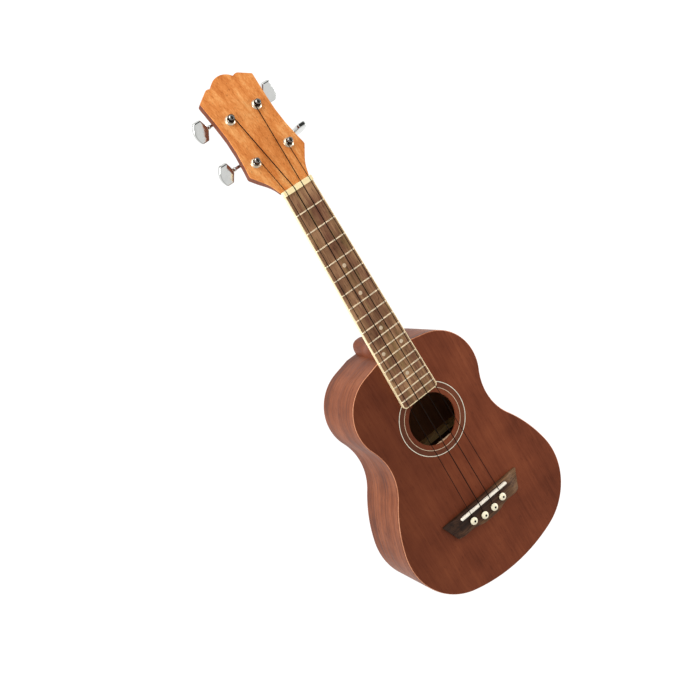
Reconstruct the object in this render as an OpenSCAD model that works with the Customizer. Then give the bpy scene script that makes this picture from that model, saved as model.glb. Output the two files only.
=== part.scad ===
// Concert ukulele with a pin bridge and open-gear tuning machines.
// It lies on its flat back: +Z out of the soundboard, +Y along the neck to the head, +X to the right
// of someone who looks at the soundboard with the head up. The origin is under the middle of the whole.

/* [Scale and fretboard] */
// String length from the nut to the saddle line, before compensation
scale_len = 380; // [374:1:386]
// Number of frets
fret_count = 17; // [14:1:17]
// Width of the fretboard at the nut, over its binding
board_w_nut = 34.5; // [33:0.5:36]
// Width of the fretboard at its body end, over its binding
board_w_end = 45.7; // [44:0.5:48]
// Thickness of the fretboard
board_t = 4; // [3.5:0.1:5]
// Length of fretboard that lies on the body
board_over_body = 56.3; // [52:0.5:58]
// Width of the binding round the fretboard
binding_w = 1.1; // [0.8:0.1:1.6]
// Corner radius at the body end of the fretboard
board_corner_r = 4; // [2:0.5:6]
// Thickness of the nut, along the strings
nut_t = 5.2; // [4:0.2:6]
// Distance between neighbouring strings at the nut
nut_spacing = 9.3; // [8.8:0.1:9.6]
// Diameters of the G, C, E and A strings
string_ds = [0.72, 1.02, 0.9, 0.7]; // [0.5:0.01:1.1]

/* [Body] */
// Depth of the body, soundboard and back included
body_depth = 73.5; // [65:0.5:80]
// Thickness of the soundboard
top_t = 2; // [1.6:0.1:2.4]
// Thickness of the back
back_t = 2; // [1.6:0.1:2.4]
// Thickness of the sides
side_t = 2; // [1.6:0.1:2.4]
// Radius of the arc across the tail
tail_r = 184; // [170:1:200]
// Radius of the lower bout
lower_r = 70.3; // [68:0.1:72]
// Radius of the flank above the lower bout
flank_r = 158; // [150:1:170]
// Radius of the hollow at the waist
waist_r = 60; // [56:1:64]
// Radius of the upper bout
upper_r = 49.3; // [47:0.1:51]
// Radius of the soundhole
hole_r = 27.75; // [26:0.25:29]
// Distance from the neck joint to the centre of the soundhole
hole_from_joint = 84.1; // [83:0.1:88]
// Radius of the middle of each rosette ring, outer and inner
ring_rs = [39.1, 33.1]; // [31:0.1:42]
// Width of each rosette ring, outer and inner
ring_ws = [1.2, 0.8]; // [0.8:0.1:2.5]

/* [Bridge] */
// Length of the front edge of the bridge
bridge_front = 107; // [100:1:112]
// Length of the back edge of the bridge
bridge_back = 88; // [84:1:94]
// Width of the bridge along the strings, at its ends
bridge_w = 22.5; // [21:0.5:25]
// Extra width of the bridge in the middle of its back edge
bridge_belly = 3.5; // [2:0.5:5]
// Thickness of the middle of the bridge
bridge_t = 6; // [5:0.5:7]
// Thickness of the bridge at its tips
bridge_tip_t = 2.6; // [2:0.2:4]
// Length and thickness of the saddle
saddle_size = [66, 3]; // [2:1:70]
// Height of the saddle over the soundboard
saddle_h = 9; // [8.5:0.1:10]
// Distance between neighbouring strings at the saddle
saddle_spacing = 13.85; // [13:0.05:14.5]
// Distance between neighbouring bridge pins, side to side
pin_spacing = 14.05; // [13:0.05:14.5]
// Diameter of a bridge pin below its head
pin_d = 5; // [4.8:0.1:5.4]
// Diameter of the head of a bridge pin
pin_head_d = 8.4; // [7:0.1:8.5]

/* [Head and neck] */
// Angle between the face of the head and the fretboard
head_tilt = 14.3; // [12:0.1:16]
// Length of the head
head_len = 126; // [124:1:130]
// Thickness of the head, veneer included
head_t = 12; // [11:0.5:13]
// Thickness of the veneer on the face of the head
veneer_t = 1; // [0.6:0.1:1.2]
// Depth of the neck under the fretboard, at the nut and at the body
neck_depths = [12, 13.5]; // [11:0.5:19]
// Depth of the heel
heel_h = 71.5; // [66:0.5:72]

/* [Tuning machines] */
// Places of the four posts on the face of the head, right and up from the nut
post_places = [[-19.9, 37], [-15.9, 84], [15.9, 84], [19.9, 37]];
// Teeth on the gear of each machine
gear_teeth = 14; // [13:1:15]
// Distance that the worm's thread moves in one turn
worm_lead = 2.5133; // [2.5:0.0001:2.52]
// Distance from the gear's centre to the worm's centre
worm_offset = 8.8; // [8.6:0.1:9.2]
// Depth of the worm's centre below the face of the head
worm_depth = 17.1; // [17:0.1:17.6]
// Length, width and thickness of a button
button_size = [16, 22, 5.5]; // [5:0.5:22]
// Distance from the post to the near end of the button
button_start = 17; // [17:0.5:19]
// Turn of each button from flat
button_turns = [40, 31, 40, 88]; // [-90:1:90]

/* [Hidden] */
NOTES = ["g", "c", "e", "a"];
tail_turn = 17.85;
lower_turn = 85.3;
flank_turn = 21.5;
waist_turn = 59.5;
upper_turn = 102;
joint_flat = 22;
outline_step = 4;
lining_w = 5;
lining_h = 8;
brace_w = 6;
plate_gap = 0.05;
fret_w = 2;
fret_h = 0.9;
fret_tang = [0.5, 1.6];
marker_r = 2.1;
marker_t = 1.2;
marker_offset = 11.9;
nut_over_board = 2.2;
string_over_board = 1;
saddle_notch = 0.5;
pin_len = 17.5;
pin_fit = 0.05;
pin_sag = 3.2;
pin_groove = 1.3;
face_over_neck = 0.5;
post_r = 3;
waist_post_r = 2.5;
post_top = 8.2;
bushing_r = 5.25;
bushing_barrel_r = 4.2;
tuner_plate_t = 1;
gear_t = 4;
gear_seat_r = 2.45;
worm_r = 2.7;
worm_throw = 0.7;
worm_turns = 4;
tab_x = 6.6;
winding_turns = 3;
winding_z = 3.2;
string_end_gap = 3.2;
wood_dark = "#6e3722";
wood_side = "#a5694f";
wood_pale = "#d9b98a";
wood_head = "#dc8641";
rosewood = "#4a3226";
cream = "#f1e3c0";
chrome = "#c9ccd0";
nylon = "#1d1a19";

heading_lower = tail_turn + lower_turn;
heading_flank = heading_lower + flank_turn;
heading_waist = heading_flank - waist_turn;
heading_joint = heading_waist + upper_turn;

// The right half of the body outline, from the tail to the joint, with the tail at y = 0.
// Each arc starts where the last one ends, and inset moves the whole outline inwards.
function arc_end(start, heading, turn, r) =
  start + r * [sin(heading + turn) - sin(heading), cos(heading) - cos(heading + turn)];
function arc_points(start, heading, turn, r) =
  let (count = max(2, ceil(abs(turn * r) * PI / 180 / outline_step)))
  [for (i = [1:count]) arc_end(start, heading, turn * i / count, r)];

function half_outline(inset) =
  let (
    p0 = [0, inset],
    p1 = arc_end(p0, 0, tail_turn, tail_r - inset),
    p2 = arc_end(p1, tail_turn, lower_turn, lower_r - inset),
    p3 = arc_end(p2, heading_lower, flank_turn, flank_r - inset),
    p4 = arc_end(p3, heading_flank, -waist_turn, -waist_r - inset),
    p5 = arc_end(p4, heading_waist, upper_turn, upper_r - inset),
    reach = (body_len - inset - p5.y) / sin(heading_joint)
  )
  concat(
    [p0],
    arc_points(p0, 0, tail_turn, tail_r - inset),
    arc_points(p1, tail_turn, lower_turn, lower_r - inset),
    arc_points(p2, heading_lower, flank_turn, flank_r - inset),
    arc_points(p3, heading_flank, -waist_turn, -waist_r - inset),
    arc_points(p4, heading_waist, upper_turn, upper_r - inset),
    [p5 + reach * [cos(heading_joint), sin(heading_joint)]]
  );

bout_end =
  arc_end(
    arc_end(
      arc_end(
        arc_end(arc_end([0, 0], 0, tail_turn, tail_r), tail_turn, lower_turn, lower_r),
        heading_lower, flank_turn, flank_r
      ),
      heading_flank, -waist_turn, -waist_r
    ),
    heading_waist, upper_turn, upper_r
  );
body_len = bout_end.y + (bout_end.x - joint_flat) * tan(180 - heading_joint);

head_reach = nut_t + head_len * cos(head_tilt);
total_len = body_len + scale_len / 2 + head_reach;
tail_y = -total_len / 2;
joint_y = tail_y + body_len;
nut_y = joint_y + scale_len / 2;
board_end_y = joint_y - board_over_body;
board_len = nut_y - board_end_y;
hole_y = joint_y - hole_from_joint;
saddle_y = nut_y - scale_len - 0.8;
pin_row_y = saddle_y - 10.2;
bridge_y = saddle_y + 4;

neck_z = body_depth;
board_z = neck_z + board_t;
bridge_z = body_depth + bridge_t;
saddle_z = body_depth + saddle_h;
face_z = neck_z + face_over_neck;
gear_z = -worm_depth;

function outline(inset) =
  let (half = half_outline(inset), last = len(half) - 1)
  concat(
    [for (p = half) [p.x, p.y + tail_y]],
    [for (i = [last:-1:1]) [-half[i].x, half[i].y + tail_y]]
  );

// Rounds the corners of a closed outline given as [x, y, radius].
function unit(v) = v / norm(v);
function corner(p, c, q, r) =
  let (
    u = unit(p - c),
    v = unit(q - c),
    half = acos(u * v) / 2,
    m = c + unit(u + v) * r / sin(half),
    t0 = c + u * r / tan(half) - m,
    t1 = c + v * r / tan(half) - m,
    a0 = atan2(t0.y, t0.x),
    raw = atan2(t1.y, t1.x) - a0,
    turn = raw > 180 ? raw - 360 : raw < -180 ? raw + 360 : raw,
    count = max(3, ceil(abs(turn) / 12))
  )
  [for (i = [0:count]) m + r * [cos(a0 + turn * i / count), sin(a0 + turn * i / count)]];
function flat(p) = [p.x, p.y];
function rounded(points) =
  let (n = len(points))
  [
    for (i = [0:n - 1])
      each points[i][2] > 0
        ? corner(flat(points[(i + n - 1) % n]), flat(points[i]), flat(points[(i + 1) % n]), points[i][2])
        : [flat(points[i])]
  ];
function mirrored(points) = [for (i = [len(points) - 1:-1:0]) [-points[i].x, points[i].y, points[i][2]]];

function fret_dist(n) = scale_len * (1 - pow(2, -n / 12));
function board_half(dist) = (board_w_nut + (board_w_end - board_w_nut) * dist / board_len) / 2;
function string_r(i) = string_ds[i] / 2;
function saddle_x(i) = (i - 1.5) * saddle_spacing;
function nut_x(i) = (i - 1.5) * nut_spacing;
function pin_x(i) = (i - 1.5) * pin_spacing;
function pin_y(i) = pin_row_y - (i == 1 || i == 2 ? pin_sag : 0);

// A point of the head, given as right, up from the nut, and out of the face.
function on_head(x, up, out) = [
  x,
  nut_y + nut_t + up * cos(head_tilt) + out * sin(head_tilt),
  face_z - up * sin(head_tilt) + out * cos(head_tilt)
];

module slab(points, z0, z1) {
  translate([0, 0, z0])
    linear_extrude(z1 - z0)
      polygon(points);
}

module centred_box(x, y, z, size) {
  translate([x - size.x / 2, y - size.y / 2, z])
    cube(size);
}

module head_frame() {
  translate([0, nut_y + nut_t, face_z])
    rotate([-head_tilt, 0, 0])
      children();
}

// Puts a tuning machine at post i, mirrored on the left so that its button points outwards.
module tuner_frame(i) {
  head_frame()
    translate([post_places[i].x, post_places[i].y, 0])
      mirror([post_places[i].x < 0 ? 1 : 0, 0, 0])
        children();
}

module pin_holes(z0, z1) {
  for (i = [0:3])
    translate([pin_x(i), pin_y(i), z0])
      cylinder(h = z1 - z0, r = pin_d / 2 + pin_fit, $fn = 48);
}

/* Body */

module soundboard() {
  color(wood_dark)
    difference() {
      slab(outline(0), body_depth - top_t, body_depth);
      translate([0, hole_y, body_depth - top_t - 1])
        cylinder(h = top_t + 2, r = hole_r, $fn = 96);
      for (k = [0, 1])
        ring(k);
      pin_holes(body_depth - top_t - 1, body_depth + 1);
    }
}

module back_plate() {
  color(wood_dark)
    slab(outline(0), 0, back_t);
}

module side(s) {
  color(wood_side)
    difference() {
      slab(outline(0), back_t, body_depth - top_t);
      slab(outline(side_t), back_t - 1, body_depth);
      translate([s > 0 ? -200 : 0, -400, -1])
        cube([200, 800, body_depth + 2]);
      dowel_holes();
    }
}

module side_left() {
  side(-1);
}

module side_right() {
  side(1);
}

module neck_block_space(grow) {
  centred_box(0, joint_y - 12, -1, [50 + grow, 24 + grow, body_depth + 2]);
}

module tail_block_space(grow) {
  centred_box(0, tail_y + 7, -1, [50 + grow, 18 + grow, body_depth + 2]);
}

module neck_block() {
  color(wood_pale)
    difference() {
      intersection() {
        slab(outline(side_t), back_t, body_depth - top_t);
        neck_block_space(0);
      }
      dowel_holes();
    }
}

module tail_block() {
  color(wood_pale)
    intersection() {
      slab(outline(side_t), back_t, body_depth - top_t);
      tail_block_space(0);
    }
}

module lining(z0) {
  color(wood_pale)
    difference() {
      slab(outline(side_t), z0, z0 + lining_h);
      slab(outline(side_t + lining_w), z0 - 1, z0 + lining_h + 1);
      neck_block_space(0);
      tail_block_space(0);
    }
}

module top_lining() {
  lining(body_depth - top_t - lining_h);
}

module back_lining() {
  lining(back_t);
}

module brace_bar(y, z, height) {
  intersection() {
    slab(outline(side_t + lining_w), z, z + height);
    centred_box(0, y, z - 1, [400, brace_w, height + 2]);
  }
}

module top_braces() {
  under = body_depth - top_t;
  color(wood_pale) {
    brace_bar(hole_y + 36, under - 8, 8);
    brace_bar(hole_y - 32.2, under - 8, 8);
    for (s = [-1, 1])
      translate([s * 52, saddle_y - 14, under - 6])
        rotate([0, 0, s * 8])
          centred_box(0, 0, 0, [5, 70, 6]);
  }
}

module back_braces() {
  color(wood_pale) {
    brace_bar(hole_y + 32, back_t, 9);
    brace_bar(hole_y - 45.3, back_t, 9);
    brace_bar(hole_y - 128, back_t, 9);
  }
}

module bridge_plate() {
  under = body_depth - top_t;
  color(wood_pale)
    difference() {
      centred_box(0, pin_row_y, under - 2, [74, 26, 2]);
      pin_holes(under - 3, under + 1);
    }
}

module ring(k) {
  translate([0, hole_y, body_depth - 0.8])
    rotate_extrude($fn = 96)
      translate([ring_rs[k] - ring_ws[k] / 2, 0])
        square([ring_ws[k], 0.8]);
}

module rosette_outer_ring() {
  color("#d8cdb8")
    ring(0);
}

module rosette_inner_ring() {
  color("#b98d66")
    ring(1);
}

/* Neck and head */

// Right edge of the head from the nut to the notch beside the crown, then its mirror image.
head_edge = [
  [17.3, 0, 0],
  [21.5, 12, 40],
  [33.4, 28.2, 2.5],
  [27.7, 62, 200],
  [31.3, head_len - 14.2, 1.5],
  [17.8, head_len - 5.4, 5],
  [13.2, head_len - 6.8, 1]
];
crown_r = 16;
crown = [for (a = [40:10:140]) [crown_r * cos(a), head_len - crown_r + crown_r * sin(a), 0]];
head_outline = rounded(concat(head_edge, crown, mirrored(head_edge)));

module post_bores() {
  for (p = post_places) {
    translate([p.x, p.y, -6])
      cylinder(h = 7, r = bushing_barrel_r, $fn = 48);
    translate([p.x, p.y, -head_t - 1])
      cylinder(h = head_t + 1, r = post_r + 0.4, $fn = 48);
  }
}

// Round neck between the head and the body: a tilted cone cut by the plane under the fretboard.
module neck_shaft() {
  ends = [board_half(0), board_half(scale_len / 2)];
  radii = [for (k = [0, 1]) (pow(ends[k], 2) + pow(neck_depths[k], 2)) / (2 * neck_depths[k])];
  lifts = [radii[0] - neck_depths[0], radii[1] - neck_depths[1]];
  span = scale_len / 2;
  over = 16;
  grow = (radii[0] - radii[1]) / span * over;
  tip = (lifts[0] - lifts[1]) / span * over;
  intersection() {
    translate([0, joint_y, neck_z + lifts[1]])
      rotate([-90 + atan2(lifts[0] - lifts[1], span), 0, 0])
        cylinder(h = span + over, r1 = radii[1], r2 = radii[0] + grow, $fn = 96);
    translate([-40, joint_y, neck_z - 40])
      cube([80, span + over, 40]);
  }
}

module heel() {
  half = board_half(scale_len / 2);
  side_view = rounded([
    [0, 0, 0],
    [0, -heel_h, 0],
    [16, -heel_h, 2],
    [13, -30, 24],
    [62, -11, 0],
    [62, 0, 0]
  ]);
  front_view = rounded([
    [-half, 0, 0],
    [-half + 5.6, -13, 16],
    [-10.5, -heel_h, 3],
    [10.5, -heel_h, 3],
    [half - 5.6, -13, 16],
    [half, 0, 0]
  ]);
  plan = [
    [-half, 0],
    [half, 0],
    for (a = [8:12:80]) [half * cos(a), 64 * sin(a)],
    for (a = [100:12:172]) [half * cos(a), 64 * sin(a)]
  ];
  translate([0, joint_y, neck_z])
    intersection() {
      rotate([90, 0, 90])
        translate([0, 0, -30])
          linear_extrude(60)
            polygon(side_view);
      translate([0, 70, 0])
        rotate([90, 0, 0])
          linear_extrude(80)
            polygon(front_view);
      translate([0, 0, -80])
        linear_extrude(81)
          polygon(plan);
    }
}

module dowel_holes() {
  dowels(0.02);
}

module dowels(fit) {
  for (z = [22, 50])
    translate([0, joint_y + 11, z])
      rotate([90, 0, 0])
        cylinder(h = 28, r = 4 + fit, $fn = 48);
}

module neck() {
  color(wood_dark)
    difference() {
      union() {
        neck_shaft();
        heel();
        head_frame()
          slab(head_outline, -head_t, -veneer_t);
      }
      head_frame() {
        centred_box(0, 60, -veneer_t, [100, 140, 30]);
        post_bores();
        for (i = [0:3])
          pilot_holes(post_places[i]);
      }
      dowel_holes();
    }
}

module neck_dowels() {
  color(wood_pale)
    dowels(0);
}

module headstock_veneer() {
  color(wood_head)
    head_frame()
      difference() {
        slab(head_outline, -veneer_t, 0);
        post_bores();
      }
}

/* Fretboard */

function board_outline(inset) =
  rounded([
    [board_half(0) - inset, nut_y, 0],
    [-board_half(0) + inset, nut_y, 0],
    [-board_half(board_len) + inset, board_end_y + inset, board_corner_r - inset],
    [board_half(board_len) - inset, board_end_y + inset, board_corner_r - inset]
  ]);

module fret_slots() {
  for (n = [1:fret_count])
    let (dist = fret_dist(n), half = board_half(dist) - binding_w)
      centred_box(0, nut_y - dist, board_z - fret_tang[1], [2 * half, fret_tang[0], fret_tang[1] + 1]);
}

marker_spots = concat(
  [for (n = [5, 7, 10, 15]) [0, n]],
  [for (s = [-1, 1]) [s * marker_offset, 12]]
);

module markers() {
  for (m = marker_spots)
    if (m.y <= fret_count)
      translate([m.x, nut_y - (fret_dist(m.y) + fret_dist(m.y - 1)) / 2, board_z - marker_t])
        cylinder(h = marker_t, r = marker_r, $fn = 40);
}

module fretboard() {
  color(rosewood)
    difference() {
      slab(board_outline(binding_w), neck_z, board_z);
      fret_slots();
      markers();
    }
}

module fretboard_binding() {
  color(cream)
    difference() {
      slab(board_outline(0), neck_z, board_z);
      slab(board_outline(binding_w), neck_z - 1, board_z + 1);
      centred_box(0, nut_y + 5, neck_z - 1, [60, 10, 10]);
    }
}

module fret_wire(n) {
  dist = fret_dist(n);
  half = board_half(dist);
  crown_r2 = (pow(fret_w / 2, 2) + pow(fret_h, 2)) / (2 * fret_h);
  translate([0, nut_y - dist, board_z]) {
    intersection() {
      translate([-half + 0.3, 0, fret_h - crown_r2])
        rotate([0, 90, 0])
          cylinder(h = 2 * half - 0.6, r = crown_r2, $fn = 32);
      centred_box(0, 0, 0, [60, 4, 4]);
    }
    centred_box(0, 0, -fret_tang[1], [2 * (half - binding_w), fret_tang[0], fret_tang[1]]);
  }
}

module fret_wires() {
  color(chrome)
    for (n = [1:fret_count])
      fret_wire(n);
}

module fret_markers() {
  color("#e8e4dc")
    markers();
}

module nut() {
  color(cream)
    difference() {
      centred_box(0, nut_y + nut_t / 2, neck_z, [board_w_nut, nut_t, board_t + nut_over_board]);
      for (i = [0:3])
        centred_box(
          nut_x(i),
          nut_y + nut_t / 2,
          board_z + string_over_board,
          [2 * string_r(i) + 0.1, nut_t + 2, 5]
        );
      head_frame()
        centred_box(0, 10, -6, [60, 20 - 2 * plate_gap, 6]);
    }
}

/* Bridge */

bridge_outline = rounded([
  [-bridge_front / 2, bridge_y, 2],
  [-bridge_back / 2, bridge_y - bridge_w, 3],
  [-22, bridge_y - bridge_w + 0.8, 30],
  [-11, bridge_y - bridge_w - bridge_belly, 20],
  [11, bridge_y - bridge_w - bridge_belly, 20],
  [22, bridge_y - bridge_w + 0.8, 30],
  [bridge_back / 2, bridge_y - bridge_w, 3],
  [bridge_front / 2, bridge_y, 2]
]);

module saddle_shape(grow) {
  half = saddle_size.x / 2 - saddle_size.y / 2;
  r = saddle_size.y / 2 + grow;
  square([2 * half, 2 * r], center = true);
  for (s = [-1, 1])
    translate([s * half, 0])
      circle(r = r, $fn = 32);
}

module bridge() {
  side_view = [
    [-bridge_front / 2 - 1, 0],
    [bridge_front / 2 + 1, 0],
    [bridge_front / 2 + 1, bridge_tip_t],
    for (x = [46:-2:38]) [x, bridge_tip_t + (bridge_t - bridge_tip_t) * pow(cos((x - 36) * 7), 2)],
    [36, bridge_t],
    [-36, bridge_t],
    for (x = [38:2:46]) [-x, bridge_tip_t + (bridge_t - bridge_tip_t) * pow(cos((x - 36) * 7), 2)],
    [-bridge_front / 2 - 1, bridge_tip_t]
  ];
  color(rosewood)
    difference() {
      intersection() {
        slab(bridge_outline, body_depth, bridge_z + 1);
        translate([0, bridge_y + 10, body_depth])
          rotate([90, 0, 0])
            linear_extrude(60)
              polygon(side_view);
      }
      translate([0, saddle_y, bridge_z - 3])
        linear_extrude(4)
          saddle_shape(0.02);
      pin_holes(body_depth - 1, bridge_z + 1);
    }
}

module saddle() {
  color("#f6f0e2")
    difference() {
      translate([0, saddle_y, bridge_z - 3])
        linear_extrude(saddle_z - bridge_z + 3)
          saddle_shape(0);
      for (i = [0:3])
        centred_box(
          saddle_x(i),
          saddle_y,
          saddle_z - saddle_notch,
          [2 * string_r(i) + 0.1, saddle_size.y + 2, 5]
        );
    }
}

module bridge_pin(i) {
  color(cream)
    translate([pin_x(i), pin_y(i), bridge_z])
      difference() {
        rotate_extrude($fn = 48)
          polygon([
            [0, -pin_len],
            [pin_d / 2 - 0.8, -pin_len],
            [pin_d / 2, -pin_len + 1.4],
            [pin_d / 2, 1],
            [pin_head_d / 2 - 0.4, 1],
            [pin_head_d / 2, 1.6],
            for (a = [15:15:90]) [pin_head_d / 2 * cos(a), 1.6 + 2.4 * sin(a)]
          ]);
        translate([-pin_groove / 2, pin_d / 2 - pin_groove, -pin_len - 1])
          cube([pin_groove, pin_head_d, pin_len + 3.4]);
      }
}

/* Strings */

// A tube swept along a route: one ring of points for each point of the route, mitred at the bends.
tube_sides = 10;
function tube_ring(route, radii, k) =
  let (
    last = len(route) - 1,
    come = unit(k == 0 ? route[1] - route[0] : route[k] - route[k - 1]),
    leave = unit(k == last ? route[last] - route[last - 1] : route[k + 1] - route[k]),
    plane = unit(come + leave),
    across = unit([1, 0, 0] - come * come.x),
    up = cross(come, across)
  )
  [
    for (j = [0:tube_sides - 1])
      let (
        a = 360 * (j + 0.5) / tube_sides,
        spoke = radii[k] * (across * cos(a) + up * sin(a))
      )
      route[k] + spoke - come * (spoke * plane) / (come * plane)
  ];

module tube(route, radii) {
  last = len(route) - 1;
  n = tube_sides;
  polyhedron(
    [for (k = [0:last]) each tube_ring(route, radii, k)],
    concat(
      [[for (j = [0:n - 1]) j]],
      [for (k = [0:last - 1]) for (j = [0:n - 1])
        [k * n + j, (k + 1) * n + j, (k + 1) * n + (j + 1) % n, k * n + (j + 1) % n]],
      [[for (j = [n - 1:-1:0]) last * n + j]]
    )
  );
}

// Where string i stops, just short of the inner side of its winding.
function string_stop(i) =
  let (
    start = [nut_x(i), 0],
    post = post_places[i],
    wrap = waist_post_r + string_r(i),
    far = norm(post - start),
    along = unit(post - start),
    lean = (post.x < 0 ? -1 : 1) * asin(wrap / far),
    dir = [along.x * cos(lean) - along.y * sin(lean), along.x * sin(lean) + along.y * cos(lean)],
    reach = sqrt(far * far - wrap * wrap) - string_end_gap,
    stop = start + dir * reach
  )
  on_head(stop.x, stop.y, winding_z + string_r(i));

// The route starts at the knot under the bridge plate and ends at the tuning machine.
function string_route(i) =
  let (
    r = string_r(i),
    x0 = pin_x(i),
    y0 = pin_y(i) + pin_d / 2 - pin_groove / 2,
    under = body_depth - top_t - 2,
    over_saddle = saddle_z - saddle_notch + r,
    over_nut = board_z + string_over_board + r
  )
  [
    [x0, y0 + 3.6, under - 4.6],
    [x0, y0 + 3.2, under - 4],
    [x0, y0 + 2.2, under - 2.4],
    [x0, y0 + 1.8, under - 1.8],
    [x0, y0, under - 0.8],
    [x0, y0, bridge_z + 0.6],
    [saddle_x(i), saddle_y - saddle_size.y / 2, over_saddle],
    [saddle_x(i), saddle_y + saddle_size.y / 2, over_saddle],
    [nut_x(i), nut_y, over_nut],
    [nut_x(i), nut_y + nut_t, over_nut],
    string_stop(i)
  ];

module string(i) {
  r = string_r(i);
  route = string_route(i);
  knot = [0.6, 1.4, 1.4];
  color(nylon)
    tube(route, [for (k = [0:len(route) - 1]) k < 3 ? knot[k] : r]);
}

/* Tuning machines */

module tuner_bushings() {
  color(chrome)
    for (i = [0:3])
      tuner_frame(i)
        rotate_extrude($fn = 48)
          polygon([
            [post_r + 0.06, -5.9],
            [bushing_barrel_r - 0.02, -5.9],
            [bushing_barrel_r - 0.02, 0],
            [bushing_r, 0],
            [bushing_r, 0.5],
            [bushing_r - 0.6, 1.3],
            [bushing_r - 1.4, 1.6],
            [post_r + 0.06, 1.6]
          ]);
}

screw_spots = [[0, -9.6], [0, 14.2]];

module pilot_holes(place) {
  for (s = screw_spots)
    translate([place.x, place.y + s.y, -head_t - 1])
      cylinder(h = 9, r = 1, $fn = 32);
}

// One machine's base: a plate with an ear at each end and two tabs that hold the worm shaft.
module tuner_plate() {
  plate_top = -head_t;
  plate_under = -head_t - tuner_plate_t;
  ear = 4;
  difference() {
    union() {
      translate([0, 0, plate_under])
        linear_extrude(tuner_plate_t)
          union() {
            translate([-ear, screw_spots[0].y])
              square([2 * ear, screw_spots[1].y - screw_spots[0].y]);
            for (s = screw_spots)
              translate(s)
                circle(r = ear, $fn = 40);
            translate([-tab_x - 0.5, worm_offset - 3.4])
              square([2 * tab_x + 1, 6.8]);
            circle(r = 6.4, $fn = 48);
          }
      for (s = [-1, 1])
        translate([s * tab_x - 0.5, worm_offset, 0])
          rotate([90, 0, 90])
            linear_extrude(1)
              union() {
                translate([-3.4, gear_z])
                  square([6.8, plate_under - gear_z]);
                translate([0, gear_z])
                  circle(r = 3.4, $fn = 48);
              }
    }
    translate([0, 0, plate_under - 1])
      cylinder(h = 3, r = post_r + 0.06, $fn = 48);
    translate([-20, worm_offset, gear_z])
      rotate([0, 90, 0])
        cylinder(h = 40, r = 1.75 + 0.06, $fn = 48);
    for (s = screw_spots)
      translate([s.x, s.y, plate_under - 1])
        cylinder(h = 3, r = 1.1, $fn = 32);
  }
}

module tuner_plates() {
  color(chrome)
    for (i = [0:3])
      tuner_frame(i)
        tuner_plate();
}

module tuner_screws() {
  color(chrome)
    for (i = [0:3])
      tuner_frame(i)
        for (s = screw_spots)
          translate([s.x, s.y, -head_t - tuner_plate_t])
            difference() {
              rotate_extrude($fn = 32)
                polygon([[0, 8], [0.95, 7], [0.95, 0], [2.1, 0], [2, -0.7], [1.2, -1.3], [0, -1.4]]);
              for (a = [0, 90])
                rotate([0, 0, a])
                  centred_box(0, 0, -2, [2.2, 0.4, 1.3]);
            }
}

module post(i) {
  foot = gear_z - gear_t / 2;
  shoulder = gear_z + gear_t / 2;
  color(chrome)
    tuner_frame(i)
      difference() {
        rotate_extrude($fn = 48)
          polygon([
            [0, foot],
            [gear_seat_r, foot],
            [gear_seat_r, shoulder],
            [post_r, shoulder],
            [post_r, 2.2],
            [waist_post_r, 2.8],
            [waist_post_r, 6.6],
            [post_r, 7.4],
            [post_r, post_top - 0.6],
            [post_r - 0.6, post_top],
            [0, post_top]
          ]);
        translate([0, 5, 6])
          rotate([90, 0, 0])
            cylinder(h = 10, r = 0.8, $fn = 24);
        translate([0, 0, foot - 1])
          cylinder(h = 7, r = 0.92, $fn = 24);
      }
}

// Straight teeth narrow enough to clear the worm's thread at every angle.
tooth_side = [[5.05, 0.98], [5.7, 0.64], [6.1, 0.42], [6.5, 0.18]];

module gear(i) {
  step = 360 / gear_teeth;
  function tooth_point(k, row, s) =
    let (a = 90 - k * step - s * atan2(tooth_side[row][1], tooth_side[row][0]))
    norm(tooth_side[row]) * [cos(a), sin(a)];
  teeth = [
    for (k = [0:gear_teeth - 1])
      each concat(
        [for (row = [0:3]) tooth_point(k, row, -1)],
        [for (row = [3:-1:0]) tooth_point(k, row, 1)]
      )
  ];
  color("#b9975a")
    tuner_frame(i)
      translate([0, 0, gear_z - gear_t / 2])
        difference() {
          linear_extrude(gear_t)
            polygon(teeth);
          translate([0, 0, -1])
            cylinder(h = gear_t + 2, r = gear_seat_r, $fn = 48);
        }
}

module gear_screw(i) {
  color(chrome)
    tuner_frame(i)
      translate([0, 0, gear_z - gear_t / 2])
        difference() {
          rotate_extrude($fn = 32)
            polygon([[0, 5], [0.9, 5], [0.9, 0], [3.2, 0], [3.2, -0.4], [2.2, -1.3], [0, -1.4]]);
          centred_box(0, 0, -2, [3.2, 0.5, 1.2]);
        }
}

module winding(i) {
  r = string_r(i);
  color(nylon)
    tuner_frame(i)
      for (k = [0:winding_turns - 1])
        translate([0, 0, winding_z + (2.1 * k - 0.1) * r])
          rotate_extrude($fn = 48)
            translate([waist_post_r + r + 0.02, 0])
              circle(r = r, $fn = 20);
}

// The thread is a round bar whose centre winds round the axis, which clears the gear's teeth.
module worm_shaft(i) {
  hand = post_places[i].x < 0 ? 1 : -1;
  worm_len = worm_turns * worm_lead;
  color(chrome)
    tuner_frame(i)
      translate([0, worm_offset, gear_z])
        rotate([0, 90, 0]) {
          linear_extrude(worm_len, center = true, twist = hand * 360 * worm_turns, slices = 40)
            translate([0, worm_throw])
              circle(r = worm_r, $fn = 16);
          translate([0, 0, -tab_x - 1.4])
            cylinder(h = tab_x + 1.4 - worm_len / 2, r = 1.75, $fn = 40);
          translate([0, 0, worm_len / 2])
            cylinder(h = button_start - worm_len / 2 + 8, r = 1.75, $fn = 40);
        }
}

// A half-moon: shoulders that widen from the collar, straight ends and a bowed outer edge.
function button_outline() =
  let(long = button_size.x, half = button_size.y / 2)
    rounded([
      [0, -1.8, 0], [0.26 * long, -half, 1.5], [0.75 * long, -half, 2], [1.15 * long, 0, 18],
      [0.75 * long, half, 2], [0.26 * long, half, 1.5], [0, 1.8, 0]
    ]);

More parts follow.
